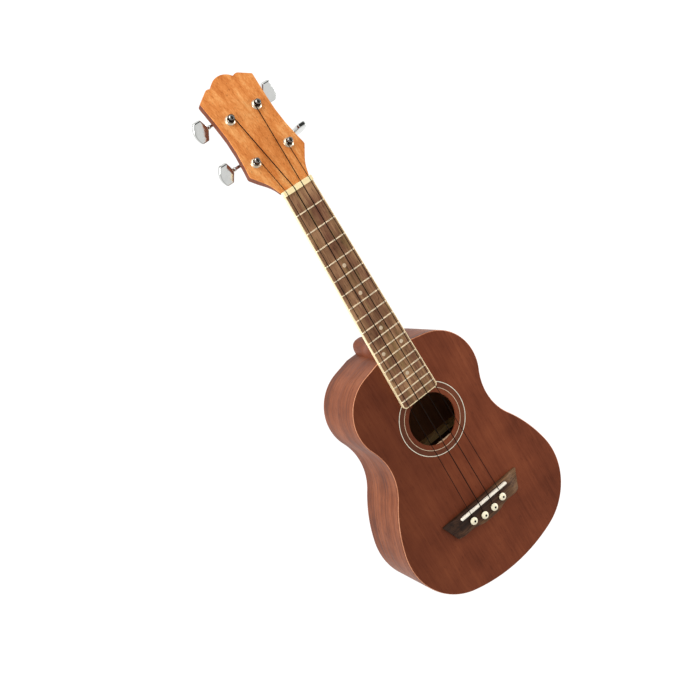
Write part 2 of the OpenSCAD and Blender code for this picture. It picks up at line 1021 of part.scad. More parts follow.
module button(i) {
  color(chrome)
    tuner_frame(i)
      translate([0, worm_offset, gear_z])
        rotate([button_turns[i], 0, 0])
          difference() {
            union() {
              translate([button_start, 0, -button_size.z / 2])
                linear_extrude(button_size.z)
                  polygon(button_outline());
              translate([button_start - 3, 0, 0])
                rotate([0, 90, 0])
                  cylinder(h = 5, r = 2.6, $fn = 40);
            }
            translate([button_start - 4, 0, 0])
              rotate([0, 90, 0])
                cylinder(h = 12, r = 1.75, $fn = 40);
          }
}

SINGLE_NODES = [
  "soundboard", "back_plate", "side_left", "side_right", "neck_block", "tail_block",
  "top_lining", "back_lining", "top_braces", "back_braces", "bridge_plate",
  "rosette_outer_ring", "rosette_inner_ring", "neck", "neck_dowels", "headstock_veneer",
  "fretboard", "fretboard_binding", "fret_wires", "fret_markers", "nut", "bridge", "saddle",
  "tuner_bushings", "tuner_plates", "tuner_screws"
];
REPEATED_NODES = [
  "bridge_pin", "string", "post", "gear", "gear_screw", "winding", "worm_shaft", "button"
];

soundboard();
back_plate();
side_left();
side_right();
neck_block();
tail_block();
top_lining();
back_lining();
top_braces();
back_braces();
bridge_plate();
rosette_outer_ring();
rosette_inner_ring();
neck();
neck_dowels();
headstock_veneer();
fretboard();
fretboard_binding();
fret_wires();
fret_markers();
nut();
bridge();
saddle();
tuner_bushings();
tuner_plates();
tuner_screws();
for (i = [0:3]) {
  bridge_pin(i);
  string(i);
  post(i);
  gear(i);
  gear_screw(i);
  winding(i);
  worm_shaft(i);
  button(i);
}
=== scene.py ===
"""Looks of a concert ukulele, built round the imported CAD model.

Lengths are in millimetres up to the floor and lights, and MM turns them into metres. What goes straight to
Blender, such as merge distances and the scales of textures, is in metres throughout.
"""

import math

import bmesh
import bpy
import numpy as np
from mathutils import Matrix, Vector


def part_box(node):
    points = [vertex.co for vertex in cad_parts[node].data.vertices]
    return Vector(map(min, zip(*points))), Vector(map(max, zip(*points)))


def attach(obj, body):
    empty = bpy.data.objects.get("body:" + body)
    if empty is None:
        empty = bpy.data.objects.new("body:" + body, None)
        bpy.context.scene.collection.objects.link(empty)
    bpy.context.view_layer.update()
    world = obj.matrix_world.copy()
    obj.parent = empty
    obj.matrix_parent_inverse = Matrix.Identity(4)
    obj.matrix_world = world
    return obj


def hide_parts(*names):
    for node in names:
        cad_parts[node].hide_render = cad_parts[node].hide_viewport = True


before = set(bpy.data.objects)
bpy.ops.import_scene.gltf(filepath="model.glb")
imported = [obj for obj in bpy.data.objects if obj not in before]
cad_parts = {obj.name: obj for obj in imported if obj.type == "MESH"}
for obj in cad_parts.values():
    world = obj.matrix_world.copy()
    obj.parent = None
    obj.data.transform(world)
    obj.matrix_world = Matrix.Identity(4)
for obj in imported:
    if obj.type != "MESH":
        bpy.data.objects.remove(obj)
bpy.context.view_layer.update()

MM = 0.001
NOTES = "gcea"
ROOT = "instrument"


# ---- sizes from the frame

def span(node):
    """The two corners of a CAD node's box."""
    lo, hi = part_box(node)
    return np.array(lo) / MM, np.array(hi) / MM


board_lo, board_hi = span("fretboard_binding")
top_lo, top_hi = span("soundboard")
nut_lo, nut_hi = span("nut")
ring_lo, ring_hi = span("rosette_outer_ring")
bridge_hi = span("bridge")[1]
saddle_lo, saddle_hi = span("saddle")

TOP_Z = top_hi[2]
TOP_UNDER = top_lo[2]
BACK_Z = span("back_plate")[1][2]
TAIL_Y, JOINT_Y = top_lo[1], top_hi[1]
BODY_LEN = JOINT_Y - TAIL_Y
NUT_Y, NUT_END = nut_lo[1], nut_hi[1]
NECK_Z = TOP_Z
BOARD_Z = board_hi[2]
HOLE_Y = (ring_lo[1] + ring_hi[1]) / 2
SCALE = 2 * (NUT_Y - JOINT_Y)
SADDLE_Y = (saddle_lo[1] + saddle_hi[1]) / 2

# Sizes that a node's box doesn't give. Most repeat the CAD source, and the rest soften its shapes.
HOLE_R = 27.75
RING_RS, RING_WS, RING_DEPTH = (39.1, 33.1), (1.2, 0.8), 0.8
SIDE_T = 2.0
HEAD_TILT = math.radians(14.3)
HEAD_LEN, HEAD_T, VENEER_T = 126.0, 12.0, 1.0
FACE_Z = NECK_Z + 0.5
NECK_DEPTHS = (12.0, 13.5)
HEEL_H, HEEL_CAP = 71.5, 10.2
POSTS = ((-19.9, 37.0), (-15.9, 84.0), (15.9, 84.0), (19.9, 37.0))
WORM_UP, WORM_OUT = 8.8, -17.1
STRING_RS = (0.36, 0.51, 0.45, 0.35)
NUT_SPACING, SADDLE_SPACING, PIN_SPACING = 9.3, 13.85, 14.05
PIN_ROW, PIN_SAG = SADDLE_Y - 10.2, 3.2
BUTTON = (16.0, 22.0, 5.5)
BUTTON_START = 17.0
BUTTON_TURNS = (40, 31, 40, 88)
BRIDGE_FRONT, BRIDGE_BACK, BRIDGE_W, BRIDGE_BELLY = 107.0, 88.0, 22.5, 3.5
BRIDGE_TIP_T = 2.6


# ---- materials

class Look:
    """One procedural material, built from chained nodes."""

    def __init__(self, name, **values):
        self.mat = bpy.data.materials.new(name)
        self.mat.use_nodes = True
        self.tree = self.mat.node_tree
        self.bsdf = self.tree.nodes["Principled BSDF"]
        for key, value in values.items():
            self.bsdf.inputs[key.replace("_", " ")].default_value = value

    def node(self, kind, inputs=None, **props):
        n = self.tree.nodes.new("ShaderNode" + kind)
        for key, value in props.items():
            setattr(n, key, value)
        for key, value in (inputs or {}).items():
            self.put(n.inputs[key], value)
        return n

    def put(self, socket, value):
        if isinstance(value, bpy.types.NodeSocket):
            self.tree.links.new(value, socket)
        else:
            socket.default_value = value

    def coords(self, scale, uv=False, turn=0.0):
        """Coordinates in metres, stretched, after a turn about Z."""
        source = self.node("TexCoord").outputs["UV" if uv else "Object"]
        if turn:
            source = self.node("Mapping", {"Vector": source, "Rotation": (0, 0, turn)}).outputs[0]
        return self.node("Mapping", {"Vector": source, "Scale": scale}).outputs[0]

    def noise(self, vector, scale=1.0, detail=2.0, rough=0.5, distortion=0.0):
        n = self.node("TexNoise", {
            "Vector": vector, "Scale": scale, "Detail": detail, "Roughness": rough, "Distortion": distortion,
        })
        return n.outputs["Fac"]

    def math(self, op, a, b=0.0):
        return self.node("Math", {0: a, 1: b}, operation=op).outputs[0]

    def span(self, value, low, high, to_low=0.0, to_high=1.0, smooth=True):
        n = self.node(
            "MapRange",
            {"Value": value, "From Min": low, "From Max": high, "To Min": to_low, "To Max": to_high},
            interpolation_type="SMOOTHSTEP" if smooth else "LINEAR",
        )
        return n.outputs["Result"]

    def ramp(self, value, stops):
        n = self.node("ValToRGB", {"Fac": value})
        points = n.color_ramp.elements
        while len(points) < len(stops):
            points.new(0.5)
        for point, (place, colour) in zip(points, stops):
            point.position = place
            point.color = (*colour, 1)
        return n.outputs["Color"]

    def mix(self, fac, a, b):
        n = self.node("Mix", data_type="RGBA")
        for key, value in ((0, fac), (6, a), (7, b)):
            self.put(n.inputs[key], (*value, 1) if isinstance(value, tuple) and len(value) == 3 else value)
        return n.outputs[2]

    def bump(self, height, strength, distance_mm):
        n = self.node("Bump", {"Height": height, "Strength": strength, "Distance": distance_mm * MM})
        self.put(self.bsdf.inputs["Normal"], n.outputs[0])

    def colour(self, value):
        self.put(self.bsdf.inputs["Base Color"], value)

    def rough(self, value):
        self.put(self.bsdf.inputs["Roughness"], value)


def srgb(r, g, b):
    """A colour given as 0 to 255, in linear light."""
    shares = (r / 255, g / 255, b / 255)
    return tuple(c / 12.92 if c <= 0.04045 else ((c + 0.055) / 1.055) ** 2.4 for c in shares)


def wood(name, dark, mid, light, along="Y", uv=False, turn=0.0, figure=1.0, fine=1.0, pores=0.5,
         rough=(0.38, 0.5), bump=0.25, band=None, mottle=0.15, contrast=1.0, gloss=0.1, short=1.0, veins=0.0):
    """Grain with broad figure, streaks, fibres and short dark pores, all stretched along one direction.

    figure and fine narrow the broad and the fine grain, short cuts fibres and pores to shorter lengths,
    mottle is the share of a cloudy pattern, veins the strength of dark lines, and band adds more tints.
    """
    look = Look(name, Specular_IOR_Level=gloss)

    def stretched(across, length):
        return look.coords([length if axis == along else across for axis in "XYZ"], uv, turn)

    broad = look.noise(stretched(45 * figure, 4 * figure), 1, 3, 0.5, 0.6)
    streak = look.noise(stretched(260 * fine, 9), 1, 3, 0.6, 0.3)
    fibre = look.noise(stretched(1300 * fine, 60 * short), 1, 2, 0.6)
    patch = look.noise(look.coords((26, 26, 26), uv), 1, 3)
    dash = look.noise(stretched(1100 * fine, 130 * short ** 0.5), 1, 1, 0.5)
    grain = 0.85 - mottle
    tone = look.math("MULTIPLY", broad, grain * 0.4)
    for part, share in ((streak, grain * 0.32), (fibre, grain * 0.28), (patch, mottle + 0.15)):
        tone = look.math("ADD", tone, look.math("MULTIPLY", part, share))
    half = 0.18 / contrast
    tone = look.span(tone, 0.5 - half, 0.5 + half, smooth=False)
    colour = look.ramp(tone, ((0.0, dark), (0.5, mid), (1.0, light)))
    pore = look.span(dash, 0.6, 0.76, 0.0, pores)
    colour = look.mix(pore, colour, tuple(c * 0.4 for c in dark))
    if veins:
        vein = look.noise(stretched(420 * fine, 5), 1, 2, 0.5)
        colour = look.mix(look.span(vein, 0.55, 0.68, 0, veins), colour, tuple(c * 0.55 for c in dark))
    if band:
        colour = band(look, colour)
    look.colour(colour)
    look.rough(look.span(streak, 0.3, 0.7, *rough))
    height = look.math("SUBTRACT", look.math("MULTIPLY", fibre, 0.35), pore)
    look.bump(height, bump, 0.12)
    return look.mat


def rosewood_tints(look, colour):
    """Reddish and olive streaks over rosewood."""
    stripe = look.noise(look.coords((170, 24, 170)), 1, 2, 0.6, 0.4)
    colour = look.mix(look.span(stripe, 0.5, 0.72, 0, 0.55), colour, srgb(110, 62, 50))
    return look.mix(look.span(stripe, 0.5, 0.3, 0, 0.4), colour, srgb(140, 118, 70))


def hole_radius(look):
    """Distance from the middle of the soundhole, in millimetres, for points on the soundboard's face."""
    place = look.node("TexCoord").outputs["Object"]
    away = look.node("VectorMath", {0: place, 1: (0, -HOLE_Y * MM, -TOP_Z * MM)}, operation="ADD").outputs[0]
    length = look.node("VectorMath", {0: away}, operation="LENGTH").outputs["Value"]
    return look.math("MULTIPLY", length, 1 / MM)


def soundboard_tints(look, colour):
    """A board that gets darker towards its upper left, with a greyer band between the two rings."""
    place = look.node("SeparateXYZ", {0: look.node("TexCoord").outputs["Object"]})
    slant = look.math("SUBTRACT", place.outputs["X"], look.math("MULTIPLY", place.outputs["Y"], 0.5))
    wave = look.math("ADD", slant, look.math("MULTIPLY", look.noise(look.coords((9, 5, 9)), 1, 2), 0.05))
    colour = look.mix(look.span(wave, 0.0, 0.125, 0.36, 0.0), colour, srgb(64, 26, 12))
    radius = hole_radius(look)
    low, high = RING_RS[1] + RING_WS[1] / 2, RING_RS[0] - RING_WS[0] / 2
    past_low, before_high = look.math("GREATER_THAN", radius, low), look.math("LESS_THAN", radius, high)
    between = look.math("MULTIPLY", past_low, before_high)
    return look.mix(look.math("MULTIPLY", between, 0.35), colour, srgb(78, 58, 46))


def brace_stain(look, colour):
    """Pale wood, stained like the soundboard on the face that shows through the soundhole."""
    height = look.node("SeparateXYZ", {0: look.node("TexCoord").outputs["Object"]}).outputs["Z"]
    bare = look.math("LESS_THAN", height, (TOP_UNDER - 0.25) * MM)
    return look.mix(bare, colour, srgb(250, 206, 166))


def purfling(name, radius, core, colour):
    """A pale line between two thin dark ones, let in round the soundhole."""
    look = Look(name, Specular_IOR_Level=0.3)
    fleck = look.noise(look.coords((700, 700, 700)), 1, 2)
    pale = look.mix(look.span(fleck, 0.4, 0.62, 0.4, 0.0), colour, tuple(c * 0.6 for c in colour))
    off = look.math("ABSOLUTE", look.math("SUBTRACT", hole_radius(look), radius))
    look.colour(look.mix(look.span(off, core / 2 - 0.03, core / 2 + 0.03), pale, srgb(52, 34, 24)))
    look.rough(look.span(fleck, 0.3, 0.7, 0.4, 0.5))
    look.bump(fleck, 0.1, 0.05)
    return look.mat


def plastic(name, colour, rough=0.3, spot=0.06, coat=0.2, gloss=0.5):
    """Smooth plastic or bone, a little cloudy."""
    look = Look(name, Coat_Weight=coat, Coat_Roughness=0.12, Specular_IOR_Level=gloss)
    cloud = look.noise(look.coords((60, 60, 60)), 1, 3)
    look.colour(look.mix(look.span(cloud, 0.3, 0.7, 0, 1), tuple(c * (1 - spot) for c in colour), colour))
    fine = look.noise(look.coords((900, 900, 900)), 1, 2)
    look.rough(look.span(fine, 0.3, 0.7, rough * 0.85, rough * 1.2))
    look.bump(fine, 0.05, 0.02)
    return look.mat


def metal(name, colour, rough=0.08, wear=0.05):
    """Plated metal with cloudy wear."""
    look = Look(name, Metallic=1.0)
    cloud = look.noise(look.coords((140, 140, 140)), 1, 4, 0.6)
    look.colour(look.mix(look.span(cloud, 0.35, 0.75, 0, 1), colour, tuple(c * (1 - wear) for c in colour)))
    look.rough(look.span(cloud, 0.3, 0.75, rough, rough * 2.2))
    fine = look.noise(look.coords((2500, 2500, 2500)), 1, 2)
    look.bump(fine, 0.04, 0.01)
    return look.mat


def nylon():
    """Dark string with fine lines along it."""
    look = Look("string_nylon", Specular_IOR_Level=0.05)
    grain = look.noise(look.coords((1800, 60, 1800)), 1, 2)
    look.colour(look.mix(grain, srgb(14, 8, 5), srgb(32, 18, 12)))
    look.rough(look.span(grain, 0.3, 0.7, 0.5, 0.6))
    look.bump(grain, 0.05, 0.01)
    return look.mat


def pearl():
    """Mother-of-pearl in three cloudy tones."""
    look = Look("pearl", Coat_Weight=0.2, Coat_Roughness=0.1)
    cloud = look.noise(look.coords((420, 420, 420)), 1, 3, 0.6, 1.6)
    tones = (0.3, srgb(186, 158, 126)), (0.5, srgb(224, 200, 168)), (0.7, srgb(200, 186, 160))
    look.colour(look.ramp(cloud, tones))
    look.rough(look.span(cloud, 0.3, 0.7, 0.18, 0.3))
    look.bump(cloud, 0.05, 0.02)
    return look.mat


TOP_TONES = (srgb(88, 40, 22), srgb(117, 58, 35), srgb(136, 72, 44))

MAT = {
    "soundboard_wood": wood("soundboard_wood", *TOP_TONES, figure=0.7, pores=0.35, rough=(0.4, 0.5),
                            mottle=0.18, contrast=1.15, band=soundboard_tints),
    # A lighter wood for the rounded edges of the plates: a painted highlight along the edge.
    "edge_highlight_wood": wood("edge_highlight_wood", srgb(150, 90, 62), srgb(196, 132, 98), srgb(220, 160, 126), pores=0.3,
                      rough=(0.35, 0.45)),
    "back_wood": wood("back_wood", *TOP_TONES, figure=0.7, pores=0.35, rough=(0.4, 0.5), mottle=0.18,
                      contrast=1.15),
    "bare_wood": wood("bare_wood", srgb(84, 50, 30), srgb(108, 68, 42), srgb(132, 86, 56), pores=0.5,
                      rough=(0.6, 0.75)),
    "side_wood": wood("side_wood", srgb(88, 44, 26), srgb(122, 66, 40), srgb(146, 86, 56), along="X",
                      uv=True, figure=1.2, fine=0.8, pores=0.7, rough=(0.38, 0.52), mottle=0.1,
                      contrast=1.8, veins=0.45),
    "inner_wood": wood("inner_wood", srgb(170, 128, 74), srgb(204, 164, 104), srgb(222, 186, 130), along="X",
                       pores=0.1, rough=(0.6, 0.75)),
    "brace_wood": wood("brace_wood", srgb(116, 62, 38), srgb(148, 84, 54), srgb(172, 106, 72), along="X",
                       pores=0.2, rough=(0.6, 0.75), band=brace_stain),
    "neck_wood": wood("neck_wood", srgb(84, 40, 26), srgb(116, 62, 40), srgb(144, 84, 56), pores=0.4,
                      rough=(0.42, 0.55)),
    "veneer_wood": wood("veneer_wood", srgb(180, 96, 38), srgb(216, 135, 70), srgb(242, 178, 110),
                        turn=math.radians(-3), figure=2.6, fine=0.75, pores=0.38, rough=(0.42, 0.54),
                        mottle=0.05, short=3.0, contrast=1.25),
    "fretboard_wood": wood("fretboard_wood", srgb(88, 54, 38), srgb(142, 103, 74), srgb(196, 152, 112),
                           figure=2.4, fine=0.8, pores=0.8, rough=(0.5, 0.62), bump=0.5, contrast=1.5,
                           band=rosewood_tints),
    "bridge_wood": wood("bridge_wood", srgb(36, 20, 12), srgb(74, 48, 32), srgb(126, 92, 62), along="X",
                        figure=2.6, pores=0.8, rough=(0.45, 0.58), bump=0.5, contrast=1.8, gloss=0.2),
    "outer_ring": purfling("outer_ring", RING_RS[0], 0.7, srgb(255, 243, 218)),
    "inner_ring": purfling("inner_ring", RING_RS[1], 0.5, srgb(240, 210, 176)),
    "binding": plastic("binding", srgb(252, 230, 184), 0.25),
    "fret_metal": metal("fret_metal", srgb(255, 236, 204), 0.34, 0.05),
    "pearl": pearl(),
    "bone": plastic("bone", srgb(255, 246, 228), 0.36, 0.04),
    "nut_bone": plastic("nut_bone", srgb(252, 232, 178), 0.36, 0.08),
    "pin_plastic": plastic("pin_plastic", srgb(255, 246, 214), 0.24),
    "dot_plastic": plastic("dot_plastic", srgb(10, 8, 6), 0.5, coat=0.0, gloss=0.1),
    "string_nylon": nylon(),
    "tuner_chrome": metal("tuner_chrome", srgb(226, 227, 230), 0.07),
    "satin_nickel": metal("satin_nickel", srgb(222, 204, 178), 0.2, 0.06),
    # Chrome made darker for the posts: painted shade that stands in for the dark reflection on them.
    "post_nickel": metal("post_nickel", srgb(146, 143, 138), 0.12, 0.1),
    "button_chrome": metal("button_chrome", srgb(209, 210, 207), 0.07),
    "gear_brass": metal("gear_brass", srgb(214, 178, 108), 0.2, 0.15),
}


# ---- mesh helpers

def make(name, verts, faces, mat, body=ROOT, slot=None, hides=(), angle=35, place=None, uvs=None, merge=True):
    """Turns points and faces into a piece that rides on a body."""
    mesh = bpy.data.meshes.new(name)
    spots = [(place @ Vector(v) if place else Vector(v)) * MM for v in verts]
    mesh.from_pydata(spots, [], faces)
    mesh.materials.append(MAT[mat])
    if uvs:
        layer = mesh.uv_layers.new(name="grain")
        for loop in mesh.loops:
            layer.data[loop.index].uv = uvs[loop.vertex_index]
    bm = bmesh.new()
    bm.from_mesh(mesh)
    if merge and not uvs:
        bmesh.ops.remove_doubles(bm, verts=bm.verts, dist=1e-7)
    bmesh.ops.recalc_face_normals(bm, faces=bm.faces)
    bm.to_mesh(mesh)
    bm.free()
    return adopt(bpy.data.objects.new(name, mesh), body, hides, angle)


def adopt(obj, body, hides=(), angle=35):
    """Puts a piece in the scene, smooth but for its sharp edges, and on its body."""
    if obj.name not in bpy.context.scene.collection.objects:
        bpy.context.scene.collection.objects.link(obj)
    obj.data.shade_smooth()
    obj.data.set_sharp_from_angle(angle=math.radians(angle))
    obj.modifiers.new("normals", "WEIGHTED_NORMAL").keep_sharp = True
    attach(obj, body)
    if hides:
        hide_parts(*hides)
    return obj


def ring_faces(loops, count):
    """Quads between equal closed loops of count points each, and a cap on both ends; loops is how many."""
    faces = []
    for k in range(loops - 1):
        for i in range(count):
            j = (i + 1) % count
            faces.append((k * count + i, k * count + j, (k + 1) * count + j, (k + 1) * count + i))
    faces.append(tuple(range(count))[::-1])
    faces.append(tuple((loops - 1) * count + i for i in range(count)))
    return faces


def lofted(loops):
    """Points and faces of a closed skin over a list of equal closed loops."""
    return [p for loop in loops for p in loop], ring_faces(len(loops), len(loops[0]))


def loft(name, loops, mat, **more):
    """A piece from a list of equal closed loops."""
    return make(name, *lofted(loops), mat, **more)


def lathe_data(profile, sides=48, place=None):
    """Points and faces of a closed turned solid, from a profile of (radius, height).

    A profile that starts on the axis has to end on it. Any other one closes on itself, which gives a ring.
    """
    on_axis = 1e-6
    ring = profile[0][0] > on_axis
    verts, faces = [], []
    for r, z in profile:
        for i in range(sides):
            a = 2 * math.pi * i / sides
            v = Vector((r * math.cos(a), r * math.sin(a), z))
            verts.append(place @ v if place else v)
    rows = len(profile)
    for k in range(rows if ring else rows - 1):
        n = (k + 1) % rows
        for i in range(sides):
            j = (i + 1) % sides
            if profile[k][0] < on_axis:
                faces.append((k * sides, n * sides + j, n * sides + i))
            elif profile[n][0] < on_axis:
                faces.append((k * sides + i, k * sides + j, n * sides))
            else:
                faces.append((k * sides + i, k * sides + j, n * sides + j, n * sides + i))
    return verts, faces


def joined(parts):
    """One list of points and one of faces from several."""
    verts, faces = [], []
    for v, f in parts:
        base = len(verts)
        verts += v
        faces += [tuple(i + base for i in face) for face in f]
    return verts, faces


def turned(profile, sides=48, place=None):
    """As lathe_data, for a profile on the axis, without the points that no face uses."""
    verts, faces = lathe_data(profile, sides, place)
    keep = sorted({i for f in faces for i in f})
    new = {old: k for k, old in enumerate(keep)}
    return [verts[i] for i in keep], [tuple(new[i] for i in f) for f in faces]


def corner(p, c, q, r, step=8):
    """Points of an arc of radius r that rounds corner c between p and q."""
    p, c, q = (np.array(v[:2], float) for v in (p, c, q))
    u, v = (p - c) / np.linalg.norm(p - c), (q - c) / np.linalg.norm(q - c)
    half = math.acos(max(-1, min(1, float(u @ v)))) / 2
    m = c + (u + v) / np.linalg.norm(u + v) * r / math.sin(half)
    t0, t1 = c + u * r / math.tan(half) - m, c + v * r / math.tan(half) - m
    a0 = math.atan2(t0[1], t0[0])
    turn = (math.atan2(t1[1], t1[0]) - a0 + math.pi) % (2 * math.pi) - math.pi
    count = max(3, math.ceil(abs(math.degrees(turn)) / step))
    return [tuple(m + r * np.array([math.cos(a0 + turn * i / count), math.sin(a0 + turn * i / count)]))
            for i in range(count + 1)]


def rounded(points, closed=True, step=8):
    """Rounds the corners of an outline given as (x, y, radius)."""
    out, n = [], len(points)
    for i, p in enumerate(points):
        if len(p) > 2 and p[2] > 0 and (closed or 0 < i < n - 1):
            out += corner(points[(i - 1) % n], p, points[(i + 1) % n], p[2], step)
        else:
            out.append((p[0], p[1]))
    return out


def dense(points, most, closed=False):
    """Adds points so that no step is longer than most."""
    out = []
    n = len(points)
    for i in range(n if closed else n - 1):
        a, b = np.array(points[i], float), np.array(points[(i + 1) % n], float)
        parts = max(1, math.ceil(np.linalg.norm(b - a) / most))
        out += [tuple(a + (b - a) * k / parts) for k in range(parts)]
    if not closed:
        out.append(tuple(points[-1]))
    return out


def smooth(t):
    """An even step from 0 to 1."""
    t = min(1.0, max(0.0, t))
    return t * t * (3 - 2 * t)


def tube_data(path, radius, sides):
    """Points and faces of a tube along a path."""
    path = [Vector(p) for p in path]
    verts = []
    normal = None
    for k, p in enumerate(path):
        ahead = path[min(k + 1, len(path) - 1)] - path[max(k - 1, 0)]
        ahead.normalize()
        if normal is None:
            normal = ahead.orthogonal().normalized()
        normal = (normal - ahead * normal.dot(ahead)).normalized()
        other = ahead.cross(normal)
        for i in range(sides):
            a = 2 * math.pi * i / sides
            verts.append(p + (normal * math.cos(a) + other * math.sin(a)) * radius)
    return verts, ring_faces(len(path), sides)


def rounded_path(points, radius, steps=6):
    """A 3-D polyline with its corners replaced by short curves."""
    pts = [Vector(p) for p in points]
    out = [pts[0]]
    for a, b, c in zip(pts, pts[1:], pts[2:]):
        reach = min(radius, (a - b).length * 0.45, (c - b).length * 0.45)
        p, q = b + (a - b).normalized() * reach, b + (c - b).normalized() * reach
        for i in range(steps + 1):
            t = i / steps
            out.append(p * (1 - t) ** 2 + b * 2 * t * (1 - t) + q * t ** 2)
    out.append(pts[-1])
    return out


def cad(node, mat, bevel=0.0):
    """Keeps a CAD node and gives it a finish, softened edges and clean shading."""
    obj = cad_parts[node]
    mesh = obj.data
    mesh.materials.clear()
    mesh.materials.append(MAT[mat])
    if "custom_normal" in mesh.attributes:
        mesh.attributes.remove(mesh.attributes["custom_normal"])
    mesh.shade_smooth()
    weld = obj.modifiers.new("weld", "WELD")
    weld.merge_threshold = 2e-6
    flat = obj.modifiers.new("flat", "DECIMATE")
    flat.decimate_type = "DISSOLVE"
    flat.angle_limit = math.radians(0.4)
    if bevel:
        soft = obj.modifiers.new("bevel", "BEVEL")
        soft.width = bevel * MM
        soft.segments = 2
        soft.limit_method = "ANGLE"
        soft.angle_limit = math.radians(28)
        soft.miter_outer = "MITER_ARC"
        soft.use_clamp_overlap = True
        obj.modifiers.new("normals", "WEIGHTED_NORMAL").keep_sharp = True
    else:
        split = obj.modifiers.new("edges", "EDGE_SPLIT")
        split.split_angle = math.radians(32)
        split.use_edge_sharp = False
    return obj


# ---- body

# Turn in degrees and radius of each arc of the outline, from the tail to the shoulder.
TURNS = ((17.85, 184.0), (85.3, 70.3), (21.5, 158.0), (-59.5, -60.0), (102.0, 49.3))
ARC_STEP = 2.0
# How far the skins of the body stay inside the CAD solids.
CLEAR = 0.01


def arc_end(start, heading, turn, r):
    """Where an arc of radius r ends after a turn in degrees. If both are negative, it bends the other way."""
    h, t = math.radians(heading), math.radians(turn)
    return (start[0] + r * (math.sin(h + t) - math.sin(h)), start[1] + r * (math.cos(h) - math.cos(h + t)))


def half_outline(inset):
    """Right half of the body outline from the tail to the joint, as in the CAD source."""
    start, heading, points = (0.0, inset), 0.0, [(0.0, inset)]
    for turn, r in TURNS:
        count = max(2, math.ceil(abs(math.radians(turn) * r) / ARC_STEP))
        real = r - inset
        points += [arc_end(start, heading, turn * i / count, real) for i in range(1, count + 1)]
        start, heading = points[-1], heading + turn
    h = math.radians(heading)
    reach = (BODY_LEN - inset - start[1]) / math.sin(h)
    points.append((start[0] + reach * math.cos(h), start[1] + reach * math.sin(h)))
    return [(x, y + TAIL_Y) for x, y in points]


def outline(inset):
    """The whole outline of the body, moved inwards."""
    half = half_outline(inset + CLEAR)
    return half + [(-x, y) for x, y in reversed(half[1:])]


def hole_circle(r, sides=160):
    """A circle round the middle of the soundhole."""
    return [(r * math.cos(2 * math.pi * i / sides), HOLE_Y + r * math.sin(2 * math.pi * i / sides))
            for i in range(sides)]


def cap(bm, loops):
    """Fills the flat area between closed vertex loops."""
    edges = []
    for loop in loops:
        for a, b in zip(loop, loop[1:] + loop[:1]):
            edges.append(bm.edges.get((a, b)) or bm.edges.new((a, b)))
    bmesh.ops.triangle_fill(bm, edges=edges, use_beauty=True)


def plate(name, wall, hole, face_wood, node):
    """A body plate: wall is a list of (inset, z), hole a list of (radius, z), each from bottom to top."""
    bm = bmesh.new()

    def rows(points):
        return [[bm.verts.new((x * MM, y * MM, z * MM)) for x, y in loop] for loop, z in points]

    def skin(levels):
        for low, high in zip(levels, levels[1:]):
            for i in range(len(low)):
                j = (i + 1) % len(low)
                bm.faces.new((low[i], low[j], high[j], high[i]))

    outer = rows([(outline(inset), z) for inset, z in wall])
    skin(outer)
    inner = []
    if hole:
        inner = rows([(hole_circle(r), z) for r, z in hole])
        skin(inner)
    cap(bm, [outer[0]] + ([inner[0]] if hole else []))
    cap(bm, [outer[-1]] + ([inner[-1]] if hole else []))
    bmesh.ops.recalc_face_normals(bm, faces=bm.faces)
    mesh = bpy.data.meshes.new(name)
    bm.normal_update()
    bm.to_mesh(mesh)
    bm.free()
    # The third material is the painted highlight along the rounded edge.
    for wood_name in (face_wood, "bare_wood", "edge_highlight_wood"):
        mesh.materials.append(MAT[wood_name])
    return adopt(bpy.data.objects.new(name, mesh), ROOT, [node])


def edge_round(r, z_edge, z_face, steps=5):
    """(inset, z) points that round a plate's edge from its wall at z_edge to its face at z_face."""
    way = 1 if z_face > z_edge else -1
    return [(r - r * math.cos(math.pi / 2 * i / steps), z_edge + way * r * math.sin(math.pi / 2 * i / steps))
            for i in range(steps + 1)]


def ring_grooves(lip=0.05, lip_depth=0.06):
    """(radius, z) points of the grooves for the two rings, each with a small lip, the inner one first."""
    points = []
    for ring_r, ring_w in zip(reversed(RING_RS), reversed(RING_WS)):
        low, high = ring_r - ring_w / 2, ring_r + ring_w / 2
        points += [(low - lip, TOP_Z), (low, TOP_Z - lip_depth), (low, TOP_Z - RING_DEPTH),
                   (high, TOP_Z - RING_DEPTH), (high, TOP_Z - lip_depth), (high + lip, TOP_Z)]
    return points


def paint_plate(obj, inward):
    """Gives a plate's inner face bare wood and its rounded edge a lighter wood, a painted highlight; inward
    is 1 or -1.
    """
    bare, edge = 1, 2
    flat, steep = 0.9, 0.3
    rings_end = 42 * MM
    for face in obj.data.polygons:
        up = face.normal.z * inward
        if up > flat:
            face.material_index = bare
        # Faces of the rounded edge, away from the rings, get the painted highlight.
        elif steep < -up < flat and math.hypot(face.center.x, face.center.y - HOLE_Y * MM) > rings_end:
            face.material_index = edge


EDGE_R = 1.1
SEAM = 0.12
top_wall = [(SEAM, TOP_UNDER), (0.0, TOP_UNDER + SEAM)] + edge_round(EDGE_R, TOP_Z - EDGE_R, TOP_Z)
hole_wall = [(HOLE_R, TOP_UNDER), (HOLE_R, TOP_Z - 0.5), (HOLE_R + 0.15, TOP_Z - 0.15), (HOLE_R + 0.5, TOP_Z)]
back_wall = edge_round(EDGE_R, EDGE_R, 0.0)[::-1] + [(0.0, BACK_Z - SEAM), (SEAM, BACK_Z)]
soundboard = plate("soundboard_skin", top_wall, hole_wall + ring_grooves(), "soundboard_wood", "soundboard")
back = plate("back_skin", back_wall, None, "back_wood", "back_plate")
paint_plate(soundboard, -1)
paint_plate(back, 1)


